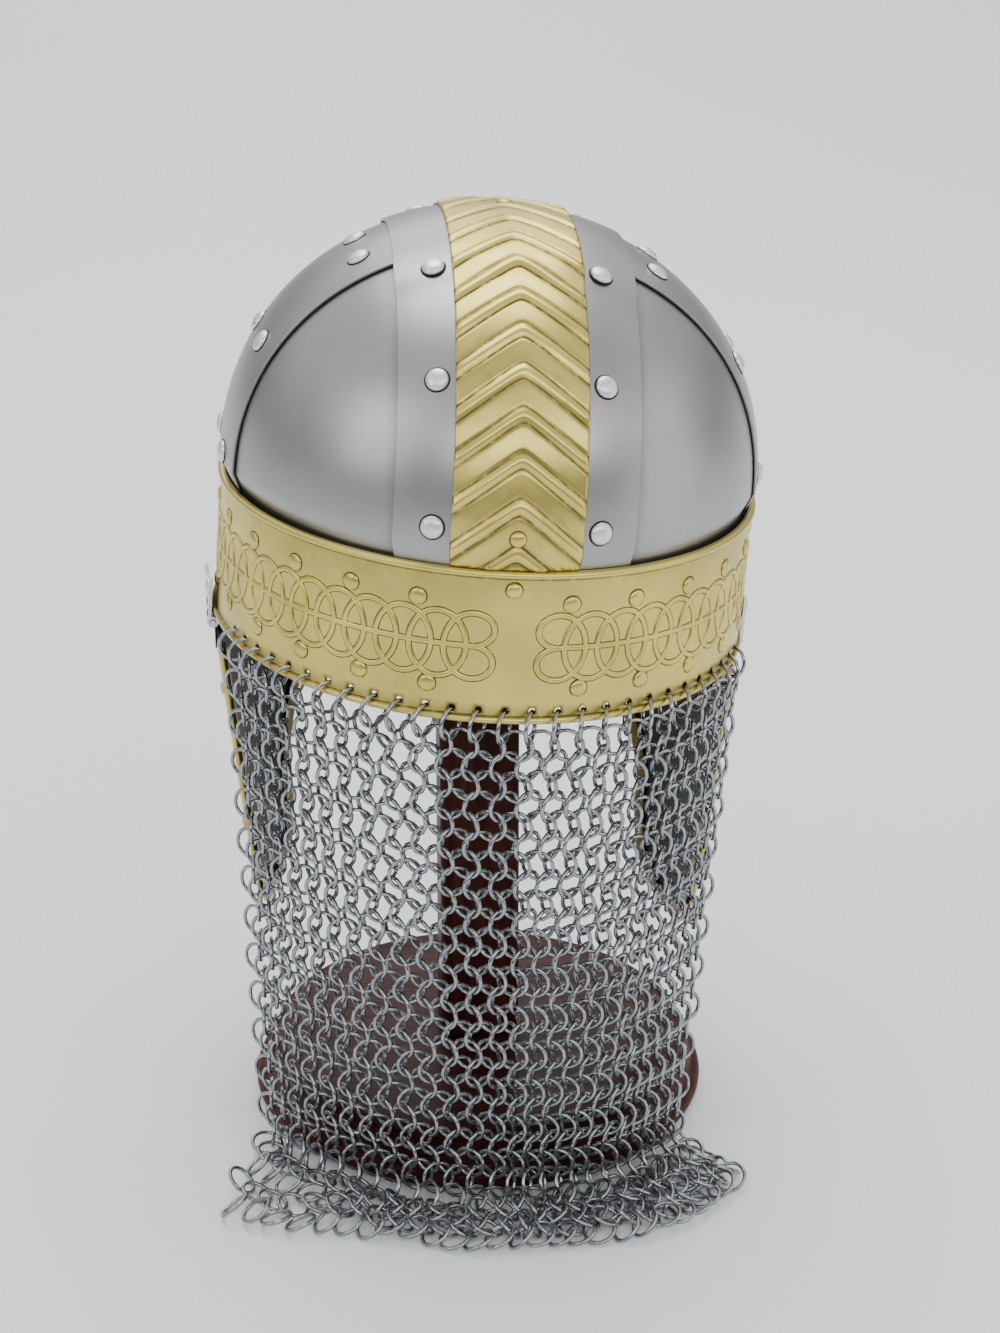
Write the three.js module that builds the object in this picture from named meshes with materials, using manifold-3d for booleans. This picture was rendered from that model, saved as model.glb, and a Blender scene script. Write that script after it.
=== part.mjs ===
import * as THREE from 'three';
import { mergeVertices } from 'three/addons/utils/BufferGeometryUtils.js';
import Module from 'manifold-3d';

// Norse helmet on its wooden stand. Millimetres, +Z up, the front of the helmet faces -Y,
// and the origin is the centre of the stand's underside.

const wasm = await Module();
wasm.setup();

// Clearance between pieces that touch on the real thing.
const clearance = 0.3;

// Stand
const foot_radius = 93;
const foot_height = 23;
const foot_top_radius = 85.3;
const foot_bead = 8.6;
const post_width = 32;
const post_depth = 22;
const block_radius = 36;
const block_top_curve = 60;
const block_height = 30;
const block_sink = 0.2;
const block_chamfer = 4;

// Helmet on the stand
const brim_height = 209;
const helmet_lean = -4.4;

// Brow band: its outside at the bottom edge, with a longer front half
const brow_height = 57.6;
const brow_half_width = 103;
const brow_half_rear = 109;
const brow_half_front = 118;
const brow_rear_taper = 3.5;
const brow_thickness = 1.2;
const brow_rivet_drop = 7;

// Crown: a full ellipsoid that stands inside the brow band
const crown_side_inset = 0.5;
const crown_rear_inset = 6.7;
const crown_front_inset = 7;
const crown_half_width = brow_half_width - crown_side_inset;
const crown_half_rear = brow_half_rear - crown_rear_inset;
const crown_half_front = brow_half_front - crown_front_inset;
const crown_rise = 94.6;
const crown_seat = 6.2;
const crown_springing = brow_height + crown_seat;
const crown_fullness = 2.08;
const crown_skirt = 30;
const crown_tuck = 2.9;
const panel_thickness = 1.4;
const panel_inset = 14;

// Bands over the crown
const band_thickness = 1.2;
const crest_half_width = 43.6;
const side_half_width = 28;
const side_inner_end = 33;
const crest_overlap = 10;
const crest_joggle = 12;
const strip_half_width = 23.5;
const strip_thickness = 0.8;
const chevron_height = 0.7;
const chevron_width = 4;
const chevron_pitch = 16.3;
const chevron_drop = 18.5;

// Brow band ornament and lips
const lip_size = 1.4;
const boss_radius = 3.3;
const boss_height = 1.1;
const boss_pitch = 26;
const boss_rise = 45;
const boss_fall = 13.2;
const rib_rise = 29;
const rib_height = 0.8;
const panel_gap = 17;

// Rivets
const steel_head_radius = 4.3;
const brass_head_radius = 3;
const head_height_share = 0.55;
const shank_radius = 1.5;

// Mail
const ring_count = 27;
const ring_spacing = 9.8;
const ring_hole_radius = 1.9;
const ring_hole_rise = 4.9;
const ring_radius = 6;
const loop_play = 0.9;
const wire_diameter = 1.6;
const mail_thickness = 6.4;
const foot_to_mail = 7;
const hem_radius = 140;
const mail_ends_margin = 3;
const fold_depth = 3;

// Cheek guards
const hinge_offset = 1;
const hinge_radius = brow_half_width + hinge_offset;
const hinge_drop = 4.5;
const hinge_middle = -6;
const hinge_length = 30;
const knuckle_radius = 2.3;
const pin_radius = 1.1;
const hinge_leaf = 14;
const leaf_thickness = 1.2;
const leaf_rivet_spacing = 18;
const strap_drop = 9;
const strap_sink = 0.4;
const guard_drop = 134;
const guard_rear = 12;
const guard_width = 84;
const guard_thickness = 1.3;
const guard_lean = 15;
const guard_top = 4.2;
const guard_inset = 1;
const guard_wrap = 11;
const guard_wrap_start = 33;
const edging_depth = 5;
const edging_wall = 0.8;
const edging_inset = 0.035;

const degree = Math.PI / 180;
const group = new THREE.Group();

const finishes = {
  steel: { color: 0x9a9a9f, metalness: 1, roughness: 0.36 },
  polished: { color: 0xb9bcc1, metalness: 1, roughness: 0.22 },
  brass: { color: 0xc2b074, metalness: 1, roughness: 0.34 },
  blackened: { color: 0x3c3a3b, metalness: 0.8, roughness: 0.5 },
  wire: { color: 0xa9adb0, metalness: 1, roughness: 0.3 },
  wood: { color: 0x4a211a, metalness: 0, roughness: 0.45 },
};

function add(parent, name, geometry, finish) {
  const mesh = new THREE.Mesh(geometry, new THREE.MeshStandardMaterial(finishes[finish]));
  mesh.name = name;
  parent.add(mesh);
  return mesh;
}

// A closed geometry as a solid, and back.
function solid(geometry) {
  const bare = geometry.clone();
  bare.deleteAttribute('normal');
  bare.deleteAttribute('uv');
  const merged = mergeVertices(bare, 1e-4);
  const vertProperties = new Float32Array(merged.attributes.position.array);
  const triVerts = new Uint32Array(merged.index.array);
  return new wasm.Manifold(new wasm.Mesh({ numProp: 3, vertProperties, triVerts }));
}

function geometryOf(body) {
  const mesh = body.getMesh();
  const geometry = new THREE.BufferGeometry();
  geometry.setAttribute('position', new THREE.BufferAttribute(mesh.vertProperties, 3));
  geometry.setIndex(new THREE.BufferAttribute(mesh.triVerts, 1));
  geometry.computeVertexNormals();
  return geometry;
}

function indexed(geometry) {
  return geometryOf(solid(geometry));
}

function joined(bodies) {
  return bodies.reduce((whole, body) => whole.add(body));
}

function drilled(body, cutters) {
  return cutters.reduce((rest, cutter) => rest.subtract(cutter), body);
}

// A closed geometry from rings of points. Each ring has as many points as the next, and the
// first and last rings are capped, or joined to each other when the loop is closed.
function skinned(rings, closed = false) {
  const count = rings[0].length;
  const positions = rings.flat().flatMap((p) => [p.x, p.y, p.z]);
  const index = [];
  const spans = closed ? rings.length : rings.length - 1;
  for (let i = 0; i < spans; i += 1) {
    const here = i * count;
    const next = ((i + 1) % rings.length) * count;
    for (let j = 0; j < count; j += 1) {
      const k = (j + 1) % count;
      index.push(here + j, here + k, next + k, here + j, next + k, next + j);
    }
  }
  if (!closed) {
    const last = (rings.length - 1) * count;
    for (const [a, b, c] of capTriangles(rings[0])) {
      index.push(c, b, a);
    }
    for (const [a, b, c] of capTriangles(rings[rings.length - 1])) {
      index.push(last + a, last + b, last + c);
    }
  }
  const geometry = new THREE.BufferGeometry();
  geometry.setAttribute('position', new THREE.Float32BufferAttribute(positions, 3));
  geometry.setIndex(index);
  return facingOut(geometry);
}

// Turns the faces of a closed geometry round where they point inwards.
function facingOut(geometry) {
  const { position } = geometry.attributes;
  const index = [...geometry.index.array];
  const corner = (i) => new THREE.Vector3().fromBufferAttribute(position, i);
  let volume = 0;
  for (let i = 0; i < index.length; i += 3) {
    const [a, b, c] = index.slice(i, i + 3).map(corner);
    volume += a.dot(b.cross(c));
  }
  if (volume < 0) {
    for (let i = 0; i < index.length; i += 3) {
      [index[i], index[i + 1]] = [index[i + 1], index[i]];
    }
    geometry.setIndex(index);
  }
  return geometry;
}

// Triangles that fill one ring of points, found in the plane that the ring fits best.
function capTriangles(ring) {
  const normal = new THREE.Vector3();
  for (let i = 0; i < ring.length; i += 1) {
    normal.add(new THREE.Vector3().crossVectors(ring[i], ring[(i + 1) % ring.length]));
  }
  normal.normalize();
  const across = new THREE.Vector3().subVectors(ring[1], ring[0]).normalize();
  const along = new THREE.Vector3().crossVectors(normal, across);
  const flat = ring.map((p) => new THREE.Vector2(p.dot(across), p.dot(along)));
  return THREE.ShapeUtils.triangulateShape(flat, []);
}

function box(low, high) {
  const size = new THREE.Vector3().subVectors(high, low);
  const middle = new THREE.Vector3().addVectors(low, high).multiplyScalar(0.5);
  return solid(new THREE.BoxGeometry(size.x, size.y, size.z).translate(middle.x, middle.y, middle.z));
}

// A geometry that was made about +Z, moved so that +Z points along a direction from a place.
function stood(geometry, place, direction) {
  const turn = new THREE.Quaternion().setFromUnitVectors(new THREE.Vector3(0, 0, 1), direction);
  return geometry.applyQuaternion(turn).translate(place.x, place.y, place.z);
}

function cylinder(radius, length, sides) {
  return new THREE.CylinderGeometry(radius, radius, length, sides).rotateX(Math.PI / 2);
}

// The crown draws in below its springing, to pass inside the brow band.
const tuck_drop = crown_springing - brow_height - clearance;

// The crown's surface, pushed out by an offset. Azimuth runs from the left ear over the rear,
// and rise is an angle above the springing, or a drop below it in millimetres when negative.
function power(value) {
  return Math.sign(value) * Math.abs(value) ** (2 / crown_fullness);
}

function crownPoint(azimuth, rise, offset) {
  const lateral = Math.cos(azimuth);
  const lengthwise = Math.sin(azimuth);
  const half_length = lengthwise > 0 ? crown_half_rear : crown_half_front;
  if (rise >= 0) {
    const ring = power(Math.cos(rise));
    return new THREE.Vector3(
      (crown_half_width + offset) * ring * lateral,
      (half_length + offset) * ring * lengthwise,
      crown_springing + (crown_rise + offset) * power(Math.sin(rise)),
    );
  }
  const tuck = crown_tuck * Math.min(1, -rise / tuck_drop);
  return new THREE.Vector3(
    (crown_half_width - tuck + offset) * lateral,
    (half_length + offset) * lengthwise,
    crown_springing + rise,
  );
}

// The direction straight out of the crown at a place on it.
function crownNormal(azimuth, rise) {
  const step = 0.01;
  const here = crownPoint(azimuth, rise, 0);
  const beside = crownPoint(azimuth + step, rise, 0).sub(here);
  const above = crownPoint(azimuth, rise + step, 0).sub(here);
  return new THREE.Vector3().crossVectors(beside, above).normalize();
}

// A shell over the whole crown between two offsets, each a function of the place. The rings
// have half as many sides above each of two heights, where they get small.
const crown_sides = 32;
const crown_rings = [
  { rise: -crown_skirt, sides: crown_sides },
  { rise: -tuck_drop, sides: crown_sides },
  ...[0, 0.15, 0.3, 0.44, 0.58].map((share) => ({ rise: share * Math.PI / 2, sides: crown_sides })),
  { rise: 0.72 * Math.PI / 2, sides: crown_sides / 2 },
  { rise: 0.86 * Math.PI / 2, sides: crown_sides / 4 },
];

function crownShell(inner, outer) {
  const points = [];
  const index = [];
  const bottoms = [];
  for (const [offset, flip] of [[outer, false], [inner, true]]) {
    const face = (a, b, c) => (flip ? index.push(a, c, b) : index.push(a, b, c));
    const starts = crown_rings.map(({ rise, sides }) => {
      const start = points.length;
      for (let i = 0; i < sides; i += 1) {
        const azimuth = (i / sides) * 2 * Math.PI;
        points.push(crownPoint(azimuth, rise, offset(crownPoint(azimuth, rise, 0))));
      }
      return start;
    });
    const top = points.length;
    points.push(crownPoint(0, Math.PI / 2, offset(crownPoint(0, Math.PI / 2, 0))));
    bottoms.push(starts[0]);
    crown_rings.forEach(({ sides }, row) => {
      const low = starts[row];
      const above = crown_rings[row + 1];
      for (let i = 0; i < sides; i += 1) {
        const k = (i + 1) % sides;
        if (!above) {
          face(low + i, low + k, top);
        } else if (above.sides === sides) {
          face(low + i, low + k, starts[row + 1] + k);
          face(low + i, starts[row + 1] + k, starts[row + 1] + i);
        } else {
          const near = starts[row + 1] + Math.floor(i / 2);
          const next = starts[row + 1] + (Math.floor(i / 2) + 1) % above.sides;
          face(low + i, low + k, i % 2 ? next : near);
          if (i % 2) {
            face(low + i, next, near);
          }
        }
      }
    });
  }
  const [outer_start, inner_start] = bottoms;
  for (let i = 0; i < crown_sides; i += 1) {
    const k = (i + 1) % crown_sides;
    index.push(inner_start + i, inner_start + k, outer_start + k);
    index.push(inner_start + i, outer_start + k, outer_start + i);
  }
  const geometry = new THREE.BufferGeometry();
  geometry.setAttribute('position', new THREE.Float32BufferAttribute(points.flatMap((p) => p.toArray()), 3));
  geometry.setIndex(index);
  return solid(geometry);
}

// Heights of the layers over the crown's panels.
const side_inner = clearance;
const side_outer = side_inner + band_thickness;
const lift = side_outer;

function smooth(value) {
  const held = Math.min(1, Math.max(0, value));
  return held * held * (3 - 2 * held);
}

// The crest band rises over the side bands, where it crosses them.
function crestLift(place) {
  const beyond = Math.abs(place.y) - side_half_width - crest_overlap;
  return lift * smooth(1 - beyond / crest_joggle);
}

const crestInner = (place) => clearance + crestLift(place);
const crestOuter = (place) => crestInner(place) + band_thickness;
const stripInner = (place) => crestOuter(place) + clearance;
const stripOuter = (place) => stripInner(place) + strip_thickness;

// Rivet: a domed head with a shank that goes through what it holds.
function rivet(head_radius, stack, sides = 6) {
  const head = head_radius * head_height_share;
  const profile = [
    [0, -stack],
    [shank_radius, -stack],
    [shank_radius, clearance],
    [head_radius, clearance],
    [head_radius * 0.6, clearance + head * 0.8],
    [0, clearance + head],
  ].map(([r, z]) => new THREE.Vector2(r, z));
  return new THREE.LatheGeometry(profile, sides).rotateX(Math.PI / 2);
}

function shankHole(place, direction, reach = 8) {
  return solid(stood(cylinder(shank_radius + clearance, 2 * reach, 6), place, direction));
}

// Rivet places on the crown: azimuth and rise from a place across and along a band.
function onCrest(across, angle) {
  const ring = Math.sqrt(1 - (across / crown_half_width) ** 2);
  const forward = Math.cos(angle) < 0;
  const half_length = forward ? crown_half_front : crown_half_rear;
  return crownAt(across, half_length * ring * Math.cos(angle), Math.sin(angle) >= 0);
}

function crownAt(x, y) {
  const half_length = y > 0 ? crown_half_rear : crown_half_front;
  const lateral = x / crown_half_width;
  const lengthwise = y / half_length;
  const azimuth = Math.atan2(lengthwise, lateral);
  const ring = Math.min(1, Math.hypot(lateral, lengthwise));
  const rise = Math.acos(ring ** (crown_fullness / 2));
  return { azimuth, rise };
}

// Stand: a turned foot, a board post and a rounded block that carries the crown.
function foot() {
  const bead = foot_bead / 2;
  const profile = [[0, 0], [foot_radius - bead, 0]];
  for (const angle of [-55, -20, 20, 55]) {
    profile.push([
      foot_radius - bead + bead * Math.cos(angle * degree),
      bead + bead * Math.sin(angle * degree),
    ]);
  }
  const cove_foot = foot_radius - bead * 0.9;
  profile.push(
    [cove_foot, foot_bead],
    [foot_top_radius + 1, foot_bead + 0.35 * (foot_height - foot_bead)],
    [foot_top_radius, foot_height - 3],
    [foot_top_radius - 2.5, foot_height],
    [0, foot_height],
  );
  return new THREE.LatheGeometry(profile.map(([r, z]) => new THREE.Vector2(r, z)), 28).rotateX(Math.PI / 2);
}

const helmet = new THREE.Group();
helmet.position.z = brim_height;
helmet.rotation.y = helmet_lean * degree;
group.add(helmet);
helmet.updateMatrixWorld(true);

const block_centre = new THREE.Vector3(0, 0, crown_springing + crown_rise - block_sink - block_top_curve);
block_centre.applyMatrix4(helmet.matrixWorld);
const block_edge_angle = Math.asin(block_radius / block_top_curve);
const block_shoulder = block_centre.z + block_top_curve * Math.cos(block_edge_angle);
const block_bottom = block_shoulder - block_height;

function block() {
  const profile = [
    [0, block_bottom],
    [block_radius - block_chamfer, block_bottom],
    [block_radius, block_bottom + 1.5 * block_chamfer],
  ];
  for (const share of [1, 0.6, 0.3]) {
    const angle = block_edge_angle * share;
    profile.push([block_top_curve * Math.sin(angle), block_centre.z + block_top_curve * Math.cos(angle)]);
  }
  profile.push([0, block_centre.z + block_top_curve]);
  const outline = profile.map(([r, z]) => new THREE.Vector2(r, z));
  return new THREE.LatheGeometry(outline, 16).rotateX(Math.PI / 2).translate(block_centre.x, 0, 0);
}

function post() {
  const low = foot_height + clearance;
  const high = block_bottom - clearance;
  return new THREE.BoxGeometry(post_width, post_depth, high - low).translate(0, 0, (low + high) / 2);
}

add(group, 'stand_foot', foot(), 'wood');
add(group, 'stand_post', post(), 'wood');
add(group, 'stand_block', block(), 'wood');

// Crown rivets: on both edges of the crest band and of the side bands, in degrees of rise.
const crest_rivet_across = 30;
const crest_rivet_rises = [4, 36, 66];
const side_rivet_across = 13;
const side_rivet_rises = [2, 28.5, 57];
const strip_rivet_angles = [3, 97, 177];

function rivetSpots() {
  const spots = [];
  for (const [end, sign] of [['rear', 1], ['front', -1]]) {
    for (const [hand, side] of [['left', 1], ['right', -1]]) {
      crest_rivet_rises.forEach((rise, row) => {
        const angle = sign > 0 ? rise * degree : Math.PI - rise * degree;
        const spot = onCrest(side * crest_rivet_across, angle);
        spots.push({ name: `rivet_crest_${end}_${hand}_${row + 1}`, layer: 'crest', ...spot });
      });
      side_rivet_rises.forEach((rise, row) => {
        const x = side * crown_half_width * Math.cos(rise * degree);
        const spot = crownAt(x * 0.992, sign * side_rivet_across);
        spots.push({ name: `rivet_side_${end}_${hand}_${row + 1}`, layer: 'side', ...spot });
      });
    }
  }
  strip_rivet_angles.forEach((angle, row) => {
    spots.push({ name: `rivet_strip_${row + 1}`, layer: 'strip', ...onCrest(0, angle * degree) });
  });
  return spots.map((spot) => {
    const place = crownPoint(spot.azimuth, spot.rise, 0);
    const direction = crownNormal(spot.azimuth, spot.rise);
    const outer = { crest: crestOuter, side: () => side_outer, strip: stripOuter }[spot.layer](place);
    return { ...spot, place, direction, outer };
  });
}

const rivet_spots = rivetSpots();
const crown_holes = rivet_spots.map((spot) => shankHole(spot.place, spot.direction));
const holesOf = (...layers) => crown_holes.filter((hole, i) => layers.includes(rivet_spots[i].layer));
const far = 400;

// Crown: four panels, two side bands, the crest band over them and the brass ridge strip.
function crown() {
  const panels = crownShell(() => -panel_thickness, () => 0);
  for (const [end, sign] of [['rear', 1], ['front', -1]]) {
    for (const [hand, side] of [['left', 1], ['right', -1]]) {
      const near = new THREE.Vector3(side * panel_inset, sign * panel_inset, -far);
      const away = new THREE.Vector3(side * far, sign * far, far);
      const quarter = box(near.clone().min(away), near.clone().max(away));
      const panel = panels.intersect(quarter);
      add(helmet, `panel_${end}_${hand}`, geometryOf(panel), 'steel');
    }
  }
  const side_shell = crownShell(() => side_inner, () => side_outer);
  for (const [hand, side] of [['left', 1], ['right', -1]]) {
    const near = new THREE.Vector3(side * side_inner_end, -side_half_width, -far);
    const away = new THREE.Vector3(side * far, side_half_width, far);
    const slab = box(near.clone().min(away), near.clone().max(away));
    add(helmet, `side_band_${hand}`, geometryOf(drilled(side_shell.intersect(slab), holesOf('side'))), 'steel');
  }
  const crest_slab = box(
    new THREE.Vector3(-crest_half_width, -far, -far),
    new THREE.Vector3(crest_half_width, far, far),
  );
  const crest = crownShell(crestInner, crestOuter).intersect(crest_slab);
  add(helmet, 'crest_band', geometryOf(drilled(crest, holesOf('crest', 'strip'))), 'steel');
}

// One raised chevron: a V that stands through the strip's outer layer, its point forward.
function chevronCutter(angle) {
  const half = strip_half_width + 1;
  const drop = chevron_drop * half / strip_half_width;
  const band = chevron_width / 2;
  const outline = new THREE.Shape([
    [-half, -drop - band], [0, -band], [half, -drop - band],
    [half, -drop + band], [0, band], [-half, -drop + band],
  ].map(([x, y]) => new THREE.Vector2(x, y)));
  const reach = 16;
  const form = new THREE.ExtrudeGeometry(outline, { depth: reach, bevelEnabled: false, steps: 1 });
  const { azimuth, rise } = onCrest(0, Math.min(Math.PI, angle));
  const below = Math.max(0, angle - Math.PI) * crown_rise;
  const place = crownPoint(azimuth, below > 0 ? -below : rise, 0);
  const normal = below > 0 ? new THREE.Vector3(0, -1, 0) : crownNormal(azimuth, rise);
  const sideways = new THREE.Vector3(-1, 0, 0);
  const forward = new THREE.Vector3().crossVectors(normal, sideways);
  const turn = new THREE.Matrix4().makeBasis(sideways, forward, normal);
  form.translate(0, 0, -reach / 2).applyMatrix4(turn).translate(place.x, place.y, place.z);
  return solid(form);
}

// The ridge strip ends on the brow band's top edge, front and rear.
function ridgeStrip() {
  const slab = box(
    new THREE.Vector3(-strip_half_width, -far, brow_height + clearance),
    new THREE.Vector3(strip_half_width, far, far),
  );
  const strip = crownShell(stripInner, stripOuter).intersect(slab);
  const raised = (place) => stripOuter(place) + chevron_height;
  const sunk = (place) => stripOuter(place) - strip_thickness / 2;
  const relief = crownShell(sunk, raised).intersect(slab);
  const turn = 2 * chevron_pitch / (crown_half_rear + crown_rise);
  const chevrons = [];
  for (let angle = 0; angle < Math.PI + 1.5 * turn; angle += turn) {
    chevrons.push(relief.intersect(chevronCutter(angle)));
  }
  return drilled(joined([strip, ...chevrons]), holesOf('strip'));
}

crown();
add(helmet, 'ridge_strip', geometryOf(ridgeStrip()), 'brass');
for (const spot of rivet_spots) {
  const brass = spot.layer === 'strip';
  const head_radius = brass ? brass_head_radius : steel_head_radius;
  const seat = spot.place.clone().addScaledVector(spot.direction, spot.outer);
  const depth = brass ? strip_thickness + clearance / 2 : band_thickness + clearance / 2;
  add(helmet, spot.name, stood(rivet(head_radius, depth), seat, spot.direction), brass ? 'brass' : 'polished');
}

// Brow band: a sheet ring with rolled lips, raised bosses and ribs, and a row of ring holes.
function browAxes(height, offset) {
  const taper = brow_rear_taper * Math.min(1, Math.max(0, height / brow_height));
  return {
    half_width: brow_half_width + offset,
    half_rear: brow_half_rear - taper + offset,
    half_front: brow_half_front - taper + offset,
  };
}

function browPoint(azimuth, height, offset) {
  const axes = browAxes(height, offset);
  const lengthwise = Math.sin(azimuth);
  const half_length = lengthwise > 0 ? axes.half_rear : axes.half_front;
  return new THREE.Vector3(axes.half_width * Math.cos(azimuth), half_length * lengthwise, height);
}

function browNormal(azimuth, height) {
  const step = 0.01;
  const before = browPoint(azimuth - step, height, 0);
  const after = browPoint(azimuth + step, height, 0);
  const along = after.sub(before).normalize();
  return new THREE.Vector3(along.y, -along.x, 0);
}

// Azimuths at equal steps of girth, counted from the middle of the rear towards the left.
function girthTable() {
  const table = [{ azimuth: Math.PI / 2, girth: 0 }];
  const steps = 360;
  for (let i = 1; i <= steps; i += 1) {
    const azimuth = Math.PI / 2 - (i / steps) * Math.PI;
    const last = table[table.length - 1];
    const length = browPoint(azimuth, 0, 0).distanceTo(browPoint(last.azimuth, 0, 0));
    table.push({ azimuth, girth: last.girth + length });
  }
  return table;
}

const girths = girthTable();
const half_girth = girths[girths.length - 1].girth;

function azimuthAt(girth) {
  const wanted = Math.min(half_girth, Math.abs(girth));
  const after = girths.findIndex((entry) => entry.girth >= wanted);
  if (after <= 0) {
    return Math.PI / 2;
  }
  const [a, b] = [girths[after - 1], girths[after]];
  const azimuth = a.azimuth + (b.azimuth - a.azimuth) * (wanted - a.girth) / (b.girth - a.girth);
  return girth >= 0 ? azimuth : Math.PI - azimuth;
}

function browBand() {
  const sides = crown_sides;
  const rings = [];
  for (let i = 0; i < sides; i += 1) {
    const azimuth = (i / sides) * 2 * Math.PI;
    rings.push([
      [-brow_thickness, 0],
      [lip_size * 0.7, 0],
      [lip_size, lip_size],
      [0, 2 * lip_size],
      [0, brow_height - 2 * lip_size],
      [lip_size, brow_height - lip_size],
      [lip_size * 0.7, brow_height],
      [-brow_thickness, brow_height],
    ].map(([out, height]) => browPoint(azimuth, height, out)));
  }
  let band = solid(skinned(rings, true));
  const extras = [];
  const boss_count = Math.floor((half_girth - panel_gap) / boss_pitch);
  for (const side of [1, -1]) {
    for (let i = 0; i < boss_count; i += 1) {
      for (const height of [boss_rise, boss_fall]) {
        extras.push(boss(side * (panel_gap / 2 + boss_pitch * (i + 0.65)), height));
      }
    }
    extras.push(...ribs(side));
  }
  band = joined([band, ...extras]);
  const holes = [];
  for (let i = 0; i < ring_count; i += 1) {
    const azimuth = azimuthAt((i - (ring_count - 1) / 2) * ring_spacing);
    const place = browPoint(azimuth, ring_hole_rise, 0);
    holes.push(solid(stood(cylinder(ring_hole_radius, 10 * brow_thickness, 6), place, browNormal(azimuth, 0))));
  }
  for (const spot of brow_rivets) {
    holes.push(shankHole(spot.place, spot.direction, 4));
  }
  for (const side of [1, -1]) {
    for (const end of [1, -1]) {
      const place = new THREE.Vector3(
        side * brow_half_width,
        hinge_middle + end * leaf_rivet_spacing / 2,
        hinge_leaf * 0.62,
      );
      holes.push(shankHole(place, new THREE.Vector3(side, 0, 0), 6));
    }
  }
  return drilled(band, holes);
}

// A round boss: a low cone frustum sunk a little into the sheet.
function boss(girth, height) {
  const azimuth = azimuthAt(girth);
  const sunk = brow_thickness / 2;
  const form = new THREE.CylinderGeometry(boss_radius * 0.6, boss_radius, boss_height + sunk, 6);
  form.rotateX(Math.PI / 2).translate(0, 0, (boss_height - sunk) / 2);
  return solid(stood(form, browPoint(azimuth, height, 0), browNormal(azimuth, height)));
}

// The middle rib of each ornament panel, in stretches that follow the curve of the band.
function ribs(side) {
  const from = panel_gap / 2;
  const to = half_girth - panel_gap / 2;
  const steps = 12;
  const rings = [];
  for (let i = 0; i <= steps; i += 1) {
    const azimuth = azimuthAt(side * (from + (to - from) * i / steps));
    const half = rib_height * 1.6;
    const ring = [[-0.5, -half], [rib_height, 0], [-0.5, half]];
    rings.push(ring.map(([out, up]) => browPoint(azimuth, rib_rise + up, out)));
  }
  const ordered = side > 0 ? rings.reverse() : rings;
  return [solid(skinned(ordered))];
}

const brow_rivets = [['rear', 0], ['front', half_girth]].map(([end, girth]) => {
  const azimuth = azimuthAt(girth);
  const height = brow_height - brow_rivet_drop;
  return {
    name: `rivet_brow_${end}`,
    place: browPoint(azimuth, height, 0),
    direction: browNormal(azimuth, height),
  };
});

add(helmet, 'brow_band', geometryOf(browBand()), 'brass');
for (const spot of brow_rivets) {
  add(helmet, spot.name, stood(rivet(brass_head_radius, brow_thickness), spot.place, spot.direction), 'brass');
}

// Mail: one thick curtain with its top row of rings through the brow band. It hangs plumb from
// the band's holes, closes in a little, and lies on the table behind the foot.
const mail_floor = mail_thickness / 2 + clearance;
const contact_radius = foot_radius + foot_to_mail;
const hem_share = 0.8;
const contact_turns = { left: 62, right: 47 };
const bend_radius = 9;

const loop_outer = lip_size + loop_play + wire_diameter / 2;
const loop_inner = -brow_thickness - loop_play - wire_diameter / 2;
const loop_middle = (loop_outer + loop_inner) / 2;

function topAt(girth) {
  const azimuth = azimuthAt(girth);
  const drop = ring_hole_rise - ring_radius;
  return browPoint(azimuth, drop, loop_middle).applyMatrix4(helmet.matrixWorld);
}

function mailLine(share) {
  const half_span = ring_spacing * (ring_count - 1) / 2 + mail_ends_margin;
  const top = topAt(share * half_span);
  const turn = (share > 0 ? contact_turns.left : contact_turns.right) * degree * share;
  const fold = fold_depth * Math.sin(share * 9.4) * Math.abs(share);
  const reach = contact_radius + Math.max(0, fold);
  const contact = new THREE.Vector3(reach * Math.sin(turn), reach * Math.cos(turn), mail_floor);
  const hem_turn = turn * hem_share;
  const hem_reach = hem_radius + fold_depth * (2 * share * share + Math.sin(share * 11));
  const hem = new THREE.Vector3(hem_reach * Math.sin(hem_turn), hem_reach * Math.cos(hem_turn), mail_floor);
  return { top, contact, hem };
}

// A point of the curtain's middle surface: down from 0 at the rings to 1 at the bend, then out
// along the table to 2 at the hem.
function mailPoint(share, down) {
  const { top, contact, hem } = mailLine(share);
  const out = new THREE.Vector3().subVectors(hem, contact);
  const outward = out.clone().normalize();
  const bend_top = contact.clone().add(new THREE.Vector3(0, 0, bend_radius));
  if (down <= 1) {
    return top.clone().lerp(bend_top, down);
  }
  if (down <= 1.3) {
    const turn = (down - 1) / 0.3 * Math.PI / 2;
    const centre = bend_top.clone().addScaledVector(outward, bend_radius);
    return centre.addScaledVector(outward, -bend_radius * Math.cos(turn))
      .add(new THREE.Vector3(0, 0, -bend_radius * Math.sin(turn)));
  }
  const start = contact.clone().addScaledVector(outward, bend_radius);
  return start.lerp(hem, (down - 1.3) / 0.7);
}

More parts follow.
